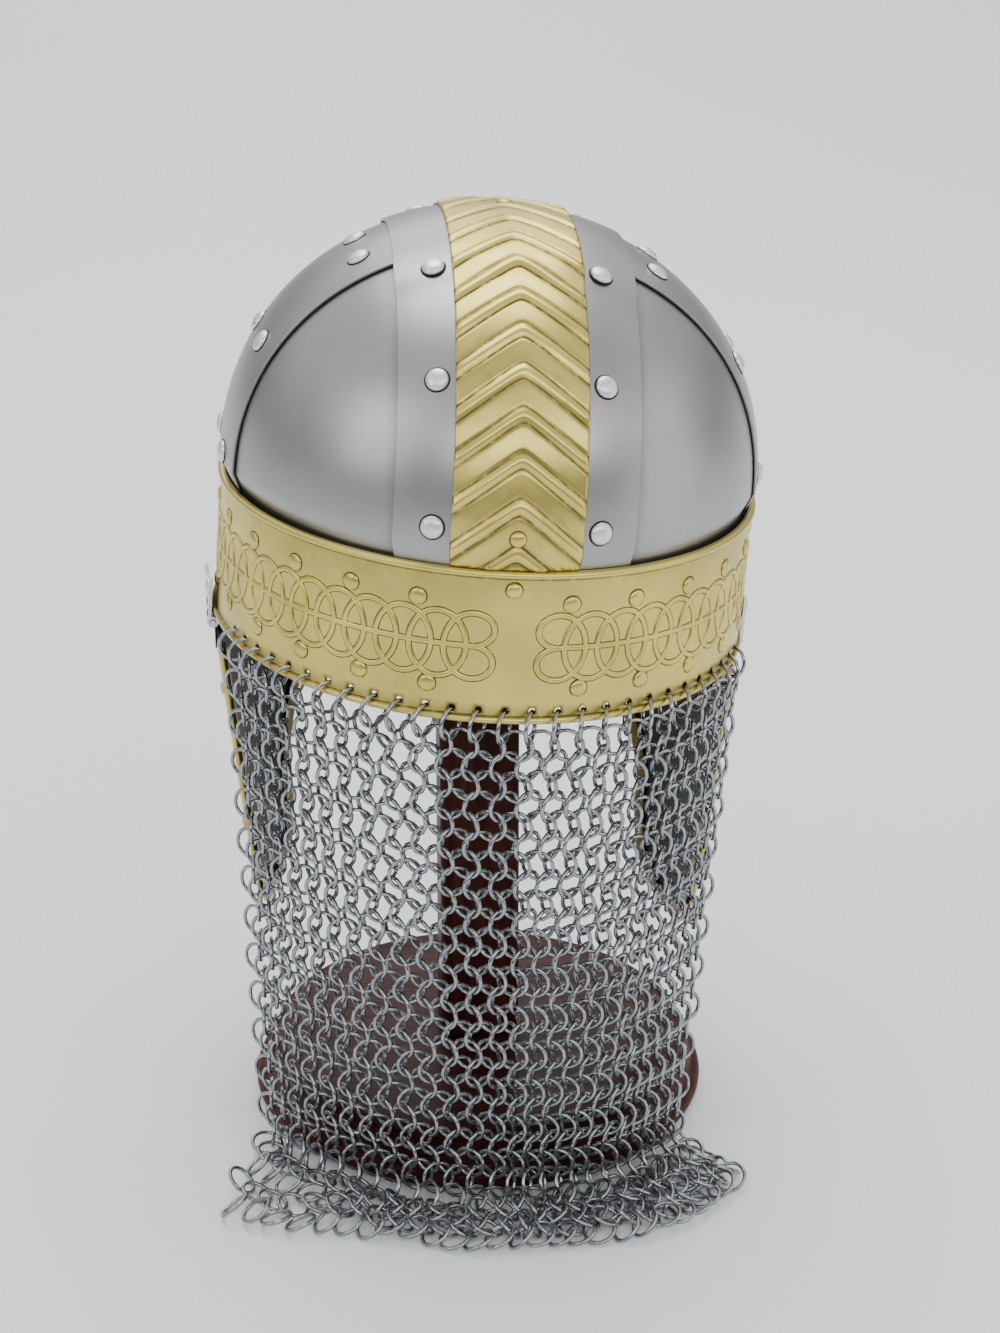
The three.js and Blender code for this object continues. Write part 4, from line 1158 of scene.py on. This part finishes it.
# Reach of the hem from the stand's axis, in degrees towards the wearer's left and millimetres
HEM_REACH = (
    (-60, 139), (-44, 140.7), (-36, 141.6), (-30.8, 144), (-22, 145.8), (-14, 139), (-3.5, 138), (5, 138.6),
    (10, 135), (18, 133.8), (28.6, 135.6), (36, 145), (40, 148), (45, 150.6), (60, 149))
# The curtain bends outward over this radius, and its lying rows are this high above the table
BEND_RADIUS = 9.0
TABLE_RISE = 4.2
TABLE_GAP = 0.15
# The first row: its drop below the holes, its rings' radius, their place out from the band's face,
# their turn, and the gap under them
TOP_DROP = 0.4
TOP_RING = 6.0
LOOP_MIDDLE = -0.2
TOP_LEAN = math.radians(62)
TOP_GAP = 7.6
# Rows and pitch that the hem's reach is set for, and what of it the last rings take up
ROWS_HUNG = 30
ROW_PITCH = 8.3
HEM_RING = 6.5
# Depth and number of the curtain's upright folds, and height and number of the ripples in its lying rows
FOLD_DEPTH, FOLD_TURNS = 2.2, 9.4
RIPPLE_HEIGHT, RIPPLE_TURNS = 1.3, 9


def mail_surface(column):
    """The places where one column of the curtain hangs from, meets the table, and heads for."""
    share = column / ((RING_COUNT - 1) / 2)
    azimuth = azimuth_at(column * RING_SPACING)
    top = TO_WORLD @ brow_point(azimuth, RING_HOLE_RISE - TOP_DROP - TOP_RING, LOOP_MIDDLE)
    side = 1 if share > 0 else -1
    turn = math.radians(CONTACT_TURNS[side]) * share
    fold = FOLD_DEPTH * math.sin(share * FOLD_TURNS) * abs(share)
    reach = CONTACT_RADIUS + max(0.0, fold)
    contact = Vector((reach * math.sin(turn), reach * math.cos(turn), TABLE_RISE))
    hem_turn = turn * HEM_SHARES[side]
    reach = hem_reach(math.degrees(hem_turn)) - HEM_RING
    hem = Vector((reach * math.sin(hem_turn), reach * math.cos(hem_turn), TABLE_RISE))
    return top, contact, hem


def hem_reach(turn):
    after = next(i for i, row in enumerate(HEM_REACH) if row[0] >= turn)
    (a0, r0), (a1, r1) = HEM_REACH[after - 1], HEM_REACH[after]
    return r0 + (r1 - r0) * (turn - a0) / (a1 - a0)


def mail_place(column, distance):
    """A point of the curtain that far down its column, and the way that it runs there."""
    top, contact, hem = mail_surface(column)
    outward = (hem - contact).normalized()
    bend_top = contact + Vector((0, 0, BEND_RADIUS))
    hang = (bend_top - top).length
    quarter = BEND_RADIUS * math.pi / 2
    if distance <= hang:
        return top.lerp(bend_top, distance / hang), (bend_top - top).normalized()
    if distance <= hang + quarter:
        turn = (distance - hang) / BEND_RADIUS
        centre = bend_top + outward * BEND_RADIUS
        fall = Vector((0, 0, -BEND_RADIUS * math.sin(turn)))
        place = centre - outward * BEND_RADIUS * math.cos(turn) + fall
        way = Vector((0, 0, -1)) * math.cos(turn) + outward * math.sin(turn)
        return place, way.normalized()
    start = contact + outward * BEND_RADIUS
    left = TOP_GAP + (ROWS_HUNG - 2) * ROW_PITCH - hang - quarter
    share = (distance - hang - quarter) / left
    ripple = RIPPLE_HEIGHT * math.sin(share * RIPPLE_TURNS + column)
    return start + ((hem - start) * share + Vector((0, 0, ripple))), outward


class HELMET_OT_mail(bpy.types.Operator):
    """Hangs the curtain of interlinked wire rings from the brow band"""

    bl_idname = "helmet.mail"
    bl_label = "Mail"

    def execute(self, context):
        sizes = context.scene.helmet_sizes
        pitch = sizes.row_pitch / MM
        ring, wire = sizes.ring_radius / MM, sizes.wire_diameter / 2 / MM
        chance = random.Random(7)
        places, turns = [], []
        for row in range(sizes.row_count):
            odd = row % 2
            distance = 0.0 if row == 0 else TOP_GAP + (row - 1) * pitch
            lean = TOP_LEAN if row == 0 else sizes.ring_lean
            lean = -lean if odd else lean
            for i in range(RING_COUNT - odd):
                column = i - (RING_COUNT - 1) / 2 + 0.5 * odd
                place, way = mail_place(column, distance)
                if row == 0:
                    normal = brow_normal(azimuth_at(column * RING_SPACING), 0)
                    across = TO_WORLD.to_3x3() @ normal.cross(Vector((0, 0, 1)))
                else:
                    before, after = (mail_place(column + step, distance)[0] for step in (-0.4, 0.4))
                    across = (after - before).normalized()
                across = (across - way * across.dot(way)).normalized()
                out = across.cross(way).normalized()
                loose = 0.0 if row == 0 else (1.0 if place.z > 6 else 3.0)
                tilt = lean + math.radians(chance.uniform(-4, 4)) * loose
                flat = (across * math.cos(tilt) + out * math.sin(tilt)).normalized()
                nod = math.radians(chance.uniform(-3.5, 3.5)) * loose
                normal = flat.cross(way).normalized()
                drop = (way * math.cos(nod) + normal * math.sin(nod)).normalized()
                normal = flat.cross(drop).normalized()
                frame_turn = Matrix((flat, drop, normal)).transposed()
                place = place + Vector([chance.uniform(-0.3, 0.3) for k in range(3)]) * loose
                low = place.z - (ring * math.hypot(normal.x, normal.y) + wire)
                place.z += max(0.0, TABLE_GAP - low)
                places.append(place * MM)
                turns.append(tuple(frame_turn.to_euler()))
        cloud = point_cloud("ring places", places, turns)
        made = grown("dressed_mail", cloud, rings_tree(), {
            "Ring Radius": sizes.ring_radius, "Wire Radius": sizes.wire_diameter / 2,
            "Ring Sides": 16, "Wire Sides": 6, "Finish": finish_of("zinc_plated_wire")})
        placed(made, "helmet", "mail_steel", ["mail_curtain"])
        return {"FINISHED"}


# Cheek guards

# Share of the guard's drop, and shares of its width where its rear and front edges are
GUARD_ROWS = (
    (0.0, 0.0, 1.0), (0.2, 0.0, 1.02), (0.4, 0.01, 0.93), (0.6, 0.03, 0.82),
    (0.8, 0.08, 0.78), (0.92, 0.17, 0.72), (1.0, 0.33, 0.58))
# Rear edge (0) or front edge (1), and share of the drop
EDGING_RIVETS = ((0.0, 0.18), (0.0, 0.64), (1.0, 0.5))
EDGING_DEPTH = 5.0
EDGING_WALL = 0.8
EDGING_SLOT = GUARD_THICKNESS / 2 + CLEARANCE
EDGING_OUTER = EDGING_SLOT + EDGING_WALL
EDGING_NOSE = 1.0
# Outline of half the channel, out past the guard's edge and up from its middle
EDGING_HALF = (
    (-EDGING_DEPTH, EDGING_SLOT), (-EDGING_DEPTH, EDGING_OUTER), (EDGING_NOSE - 1.2, EDGING_OUTER),
    (EDGING_NOSE - 0.2, EDGING_OUTER * 0.8), (EDGING_NOSE, EDGING_OUTER * 0.35))
EDGING_SECTION = (
    *EDGING_HALF, *[(out, -up) for out, up in reversed(EDGING_HALF)],
    (CLEARANCE, -EDGING_SLOT), (CLEARANCE, EDGING_SLOT))
# The hinge's length, shared by five knuckles, two of which are the guard's
HINGE_LENGTH = 30.0
KNUCKLE_GAP = 0.15
KNUCKLE_RADIUS = 2.3
LEAF_THICKNESS = 1.2
LEAF_HEIGHT = 14.0
LEAF_RIVET_SPREAD = 9.0


def guard_row(down):
    """The rear and front ends of the guard at a share of its drop."""
    after = max(1, next(i for i, row in enumerate(GUARD_ROWS) if row[0] >= down - 1e-9))
    rows = [GUARD_ROWS[max(0, min(len(GUARD_ROWS) - 1, i))] for i in range(after - 2, after + 2)]
    share = (down - rows[1][0]) / (rows[2][0] - rows[1][0])
    ends = []
    for k in (1, 2):
        p0, p1, p2, p3 = (row[k] for row in rows)
        curve = 2 * p1 + (p2 - p0) * share + (2 * p0 - 5 * p1 + 4 * p2 - p3) * share ** 2
        spline = (curve + (3 * p1 - p0 - 3 * p2 + p3) * share ** 3) / 2
        ends.append(0.9 * spline + 0.1 * (p1 + (p2 - p1) * share))
    return ends


def guard_point(across, down):
    """A point of the left guard's middle surface, from its hinge's middle."""
    rear, front = guard_row(down)
    y = GUARD_REAR - GUARD_WIDTH * (rear + (front - rear) * across)
    bow = 1 - math.sqrt(max(0.0, 1 - (y / BROW_HALF_FRONT) ** 2))
    fall = GUARD_TOP + (GUARD_DROP - GUARD_TOP) * down
    lean = GUARD_LEAN * (fall / GUARD_DROP) ** 1.1
    ahead = max(0.0, GUARD_REAR - y - GUARD_WRAP_START) / (GUARD_WIDTH - GUARD_WRAP_START)
    x = BROW_HALF_WIDTH * (1 - bow) - GUARD_INSET - lean - GUARD_WRAP * ahead ** 2 - HINGE_RADIUS
    return Vector((x, y - HINGE_MIDDLE, -fall))


def guard_normal(across, down):
    step = 0.02
    along = guard_point(min(1.0, across + step), down) - guard_point(max(0.0, across - step), down)
    fall = guard_point(across, min(1.0, down + step)) - guard_point(across, max(0.0, down - step))
    normal = along.cross(fall).normalized()
    return normal if normal.x > 0 else -normal


def hinge_place(hand):
    return TO_WORLD @ Vector((SIDES[hand] * HINGE_RADIUS, HINGE_MIDDLE, -HINGE_DROP))


def handed(points, hand):
    """Points about the left hinge, as world points in metres beside either hinge."""
    hinge = hinge_place(hand)
    return [(Vector((p.x * SIDES[hand], p.y, p.z)) + hinge) * MM for p in points]


def guard_plate(hand):
    forms = [shell(*[
        [[guard_point(across, down) + guard_normal(across, down) * out for down in spread(0.0, 1.0, 45)]
         for across in spread(0.0, 1.0, 29)]
        for out in (GUARD_THICKNESS / 2, -GUARD_THICKNESS / 2)])]
    length = HINGE_LENGTH / 5
    x = guard_point(0.2, 0.05).x
    for i in (1, 3):
        start = i * length - HINGE_LENGTH / 2 + KNUCKLE_GAP
        end = start + length - 2 * KNUCKLE_GAP
        forms.append(slab(x - 0.4, x + 2.4, start, end, -GUARD_TOP - 9, -0.5))
        forms.append(rod(start, end, KNUCKLE_RADIUS, 20))
    points, faces = joined(forms)
    made = mesh_object(f"dressed_cheek_guard_{hand}", handed(points, hand), faces, "oil_blackened_steel")
    placed(bevelled(made, 0.2), f"cheek_{hand}", "dark_steel", [f"cheek_guard_{hand}"])


def slab(x0, x1, y0, y1, z0, z1):
    rings = [[Vector((x, y, z)) for x, y in ((x0, y0), (x1, y0), (x1, y1), (x0, y1))] for z in (z0, z1)]
    return tube(rings)


def rod(y0, y1, radius, sides):
    return tube([
        [Vector((radius * math.cos(a), y, radius * math.sin(a))) for a in circle(sides)] for y in (y0, y1)])


def guard_outline():
    """The guard's free edge as shares across and down, from the rear's top round to the front's."""
    rear = [(0.0, down) for down in spread(0.04, 0.99, 34)]
    bottom = [(across, 1.0) for across in spread(0.0, 1.0, 9)]
    return rear + bottom + [(1.0, down) for across, down in reversed(rear)]


def edging(hand):
    """A brass channel folded over the guard's free edge."""
    spots = guard_outline()
    path = [guard_point(*spot) for spot in spots]
    rings = []
    for i, place in enumerate(path):
        along = (path[min(len(path) - 1, i + 1)] - path[max(0, i - 1)]).normalized()
        normal = guard_normal(*spots[i])
        normal = (normal - along * along.dot(normal)).normalized()
        outward = along.cross(normal).normalized()
        if outward.dot(guard_point(0.5, spots[i][1] * 0.93) - place) > 0:
            outward = -outward
        rings.append([place + outward * out + normal * up for out, up in EDGING_SECTION])
    points, faces = tube(rings)
    made = mesh_object(f"dressed_edging_{hand}", handed(points, hand), faces, "stamped_brass")
    # Painted shade on the half of the channel on the guard's inner side; the rest is darkened a little
    count, half = len(EDGING_SECTION), len(EDGING_HALF)
    shade_creases(made, [
        1.6 if half <= i % count < 2 * half else 0.1 for i in range(len(made.data.vertices))])
    placed(bevelled(made, 0.15), f"cheek_{hand}", "brass", [f"edging_{hand}"])


def edging_heads(hand, radius):
    spots = []
    for across, down in EDGING_RIVETS:
        inside = 0.965 if across > 0 else 0.035
        direction = guard_normal(inside, down)
        place = guard_point(inside, down) + direction * EDGING_OUTER
        spots.append((
            handed([place], hand)[0], Vector((direction.x * SIDES[hand], direction.y, direction.z))))
    home = (f"cheek_{hand}", "brass", [f"rivet_edging_{hand}_{i}" for i in (1, 2, 3)])
    heads(f"dressed_edging_rivets_{hand}", spots, dome(0.5), radius, "stamped_brass", home, 16)


def leaf_heads(hand, radius):
    side = SIDES[hand]
    x = side * (BROW_HALF_WIDTH + LIP_SIZE + CLEARANCE + LEAF_THICKNESS)
    height = LEAF_HEIGHT * 0.62
    places = [Vector((x, HINGE_MIDDLE + end * LEAF_RIVET_SPREAD, height)) for end in (1, -1)]
    spots = [to_world(place, Vector((side, 0, 0))) for place in places]
    home = ("helmet", "polished_steel", [f"rivet_leaf_{hand}_{i}" for i in (1, 2)])
    heads(f"dressed_leaf_rivets_{hand}", spots, dome(0.55), radius, "polished_steel", home, 16)


class HELMET_OT_cheek_guards(bpy.types.Operator):
    """Builds the cheek guards, their brass edgings and the heads on their hinges"""

    bl_idname = "helmet.cheek_guards"
    bl_label = "Cheek guards"

    def execute(self, context):
        sizes = context.scene.helmet_sizes
        for hand in ("left", "right"):
            guard_plate(hand)
            edging(hand)
            edging_heads(hand, sizes.brass_head * 0.85)
            leaf_heads(hand, sizes.brass_head)
            for name in (f"hinge_leaf_{hand}", f"hinge_pin_{hand}"):
                shown = frame["nodes"][name].data.materials
                shown.clear()
                shown.append(finish_of("polished_steel"))
        return {"FINISHED"}


# Stand


def arc(radius, centre_r, centre_z, start, end, steps):
    return [(centre_r + radius * math.cos(math.radians(a)), centre_z + radius * math.sin(math.radians(a)))
            for a in spread(start, end, steps)]


class HELMET_OT_stand(bpy.types.Operator):
    """Builds the turned foot, the board post and the rounded block"""

    bl_idname = "helmet.stand"
    bl_label = "Stand"

    def execute(self, context):
        bead = FOOT_BEAD / 2
        profile = [(0.5, 0.0), (60.0, 0.0), *arc(bead, FOOT_RADIUS - bead, bead, -90, 78, 14)]
        neck = FOOT_RADIUS - bead + 1.0
        profile += [(neck, FOOT_BEAD + 0.2), (neck - 0.6, FOOT_BEAD + 0.8)]
        cove_top = FOOT_HEIGHT - 4.6
        profile += [(neck - 0.8 - (neck - 1.8 - FOOT_TOP_RADIUS) * math.sin(t * math.pi / 2),
                     FOOT_BEAD + 1.2 + (cove_top - FOOT_BEAD - 1.2) * t) for t in spread(0.1, 1.0, 8)]
        profile += [(FOOT_TOP_RADIUS, cove_top + 0.6)]
        profile += arc(2.6, FOOT_TOP_RADIUS - 2.6, FOOT_HEIGHT - 2.6, 0, 90, 6)
        profile += [(60.0, FOOT_HEIGHT), (0.5, FOOT_HEIGHT)]
        points, faces = turned(profile, 128)
        foot = mesh_object("dressed_stand_foot", scaled(points), faces, "varnished_mahogany_turned")
        foot.data.set_sharp_from_angle(angle=math.radians(45))
        placed(foot, "helmet", "wood", ["stand_foot"])

        low, high = (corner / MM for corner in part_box("stand_post"))
        points, faces = slab(low.x, high.x, low.y, high.y, low.z, high.z)
        post = mesh_object("dressed_stand_post", scaled(points), faces, "varnished_mahogany_board")
        placed(bevelled(post, 1.6), "helmet", "wood", ["stand_post"])

        low, high = (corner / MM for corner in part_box("stand_block"))
        middle, radius, curve = (low.x + high.x) / 2, (high.x - low.x) / 2, 60.0
        edge = math.degrees(math.asin(radius / curve))
        profile = [(0.5, low.z), (radius - 5, low.z), *arc(5.0, radius - 5, low.z + 5, -80, 0, 6)]
        profile += arc(curve, 0.0, high.z - curve, 90 - edge, 89.5, 14)
        points, faces = turned(profile, 64, (middle, 0.0))
        block = mesh_object("dressed_stand_block", scaled(points), faces, "varnished_mahogany_board")
        placed(block, "helmet", "wood", ["stand_block"])
        return {"FINISHED"}


# Stage

CAMERA_PLACE = (0.1005, 1.1069, 0.654)
CAMERA_YAW = math.radians(5.66)
CAMERA_PITCH = math.radians(22.84)
CAMERA_LENS = 81.7
FLOOR_REACH = 8000.0
# Name, place and aim in metres, width, height, watts
SOFT_BOXES = (
    ("overhead", (0.0, -0.7, 2.0), (0.0, 0.0, 0.2), 1.4, 1.4, 28.0),
    ("camera_box", (-0.4, 1.75, 1.25), (0.0, 0.0, 0.2), 2.5, 0.6, 17.0),
    ("left_box", (1.45, 0.95, 1.06), (0.0, 0.0, 0.2), 1.0, 1.0, 8.0),
    ("right_box", (-1.65, 0.5, 0.62), (0.0, 0.0, 0.2), 1.2, 1.2, 6.0),
    ("floor_box", (0.0, -2.8, 1.6), (0.0, -2.8, 0.0), 1.6, 1.6, 19.0),
)
# Share of the way from straight down to straight up, and the tent's brightness there
TENT_TONES = ((0.0, 0.5), (0.5, 0.36), (0.6, 0.55), (0.73, 1.2), (0.85, 1.0), (0.95, 0.8), (1.0, 0.95))
# Share of that brightness left in the low part of the room behind the camera
DARK_SIDE = 0.12
# What the camera sees past the floor
BACKDROP = "#D6D7D9"


class HELMET_OT_stage(bpy.types.Operator):
    """Lays the pale floor, hangs the soft lights and sets the camera"""

    bl_idname = "helmet.stage"
    bl_label = "Stage"

    def execute(self, context):
        reach = FLOOR_REACH
        corners = [(-reach, -reach, 0), (reach, -reach, 0), (reach, reach, 0), (-reach, reach, 0)]
        mesh_object("floor", scaled(corners), [[0, 1, 2, 3]], "matt_paper_floor")
        for name, place, target, width, height, watts in SOFT_BOXES:
            lamp = bpy.data.lights.new(name, "AREA")
            lamp.shape = "RECTANGLE"
            lamp.size, lamp.size_y, lamp.energy = width, height, watts
            hung = linked(name, lamp)
            hung.location = place
            hung.rotation_euler = looking(Vector(target) - Vector(place))
        context.scene.world = light_tent()
        lens = bpy.data.cameras.new("camera")
        lens.lens = CAMERA_LENS
        lens.sensor_width = 36.0
        camera = linked("camera", lens)
        camera.location = CAMERA_PLACE
        camera.rotation_euler = looking(Vector((
            -math.sin(CAMERA_YAW) * math.cos(CAMERA_PITCH),
            -math.cos(CAMERA_YAW) * math.cos(CAMERA_PITCH), -math.sin(CAMERA_PITCH))))
        context.scene.camera = camera
        return {"FINISHED"}


def looking(direction):
    """The turn of a lamp or a camera that looks along a direction."""
    return direction.to_track_quat("-Z", "Y").to_euler()


def light_tent():
    """The room's soft light: dark low down behind the camera, and even where the camera sees it."""
    sky = bpy.data.worlds.new("light tent")
    sky.use_nodes = True
    tent = sky.node_tree
    back = tent.nodes["Background"]
    way = node(tent, "ShaderNodeSeparateXYZ", {
        "Vector": node(tent, "ShaderNodeTexCoord").outputs["Generated"]}).outputs
    height = ranged(tent, way["Z"], From_Min=-1.0, From_Max=1.0)
    tones = ramp(tent, height, [(at, (t * 0.98, t * 0.99, t)) for at, t in TENT_TONES])
    seen = node(tent, "ShaderNodeLightPath").outputs["Is Camera Ray"]
    behind = ranged(tent, way["Y"], From_Min=0.0, From_Max=0.55, To_Min=1.0, To_Max=DARK_SIDE)
    above = ranged(tent, way["Z"], From_Min=0.3, From_Max=0.65, To_Min=DARK_SIDE, To_Max=1.0)
    share = calculated(tent, "MAXIMUM", calculated(tent, "MAXIMUM", behind, above), seen)
    tent.links.new(creased(tent, tones, seen, linear(BACKDROP)), back.inputs["Color"])
    tent.links.new(share, back.inputs["Strength"])
    return sky


OPERATORS = (
    HELMET_OT_stage, HELMET_OT_stand, HELMET_OT_crown, HELMET_OT_ridge_strip, HELMET_OT_brow_band,
    HELMET_OT_rivets, HELMET_OT_mail, HELMET_OT_cheek_guards)


class HELMET_PT_pieces(bpy.types.Panel):
    """Lists the helmet's pieces and their sizes and colours"""

    bl_idname = "HELMET_PT_pieces"
    bl_label = "Norse helmet"
    bl_space_type = "VIEW_3D"
    bl_region_type = "UI"
    bl_category = "Helmet"

    def draw(self, context):
        for settings in (context.scene.helmet_sizes, context.scene.helmet_colours):
            box = self.layout.box()
            for name in settings.__annotations__:
                box.prop(settings, name)
        for operator in OPERATORS:
            self.layout.operator(operator.bl_idname)


CLASSES = (HelmetSizes, HelmetColours, *OPERATORS, HELMET_PT_pieces)


def register():
    for kind in CLASSES:
        bpy.utils.register_class(kind)
    bpy.types.Scene.helmet_sizes = PointerProperty(type=HelmetSizes)
    bpy.types.Scene.helmet_colours = PointerProperty(type=HelmetColours)


def unregister():
    del bpy.types.Scene.helmet_colours
    del bpy.types.Scene.helmet_sizes
    for kind in reversed(CLASSES):
        bpy.utils.unregister_class(kind)


def main():
    """Builds every piece in order."""
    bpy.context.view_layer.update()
    register()
    for operator in OPERATORS:
        group, name = operator.bl_idname.split(".")
        getattr(getattr(bpy.ops, group), name)()


if __name__ == "__main__":
    main()
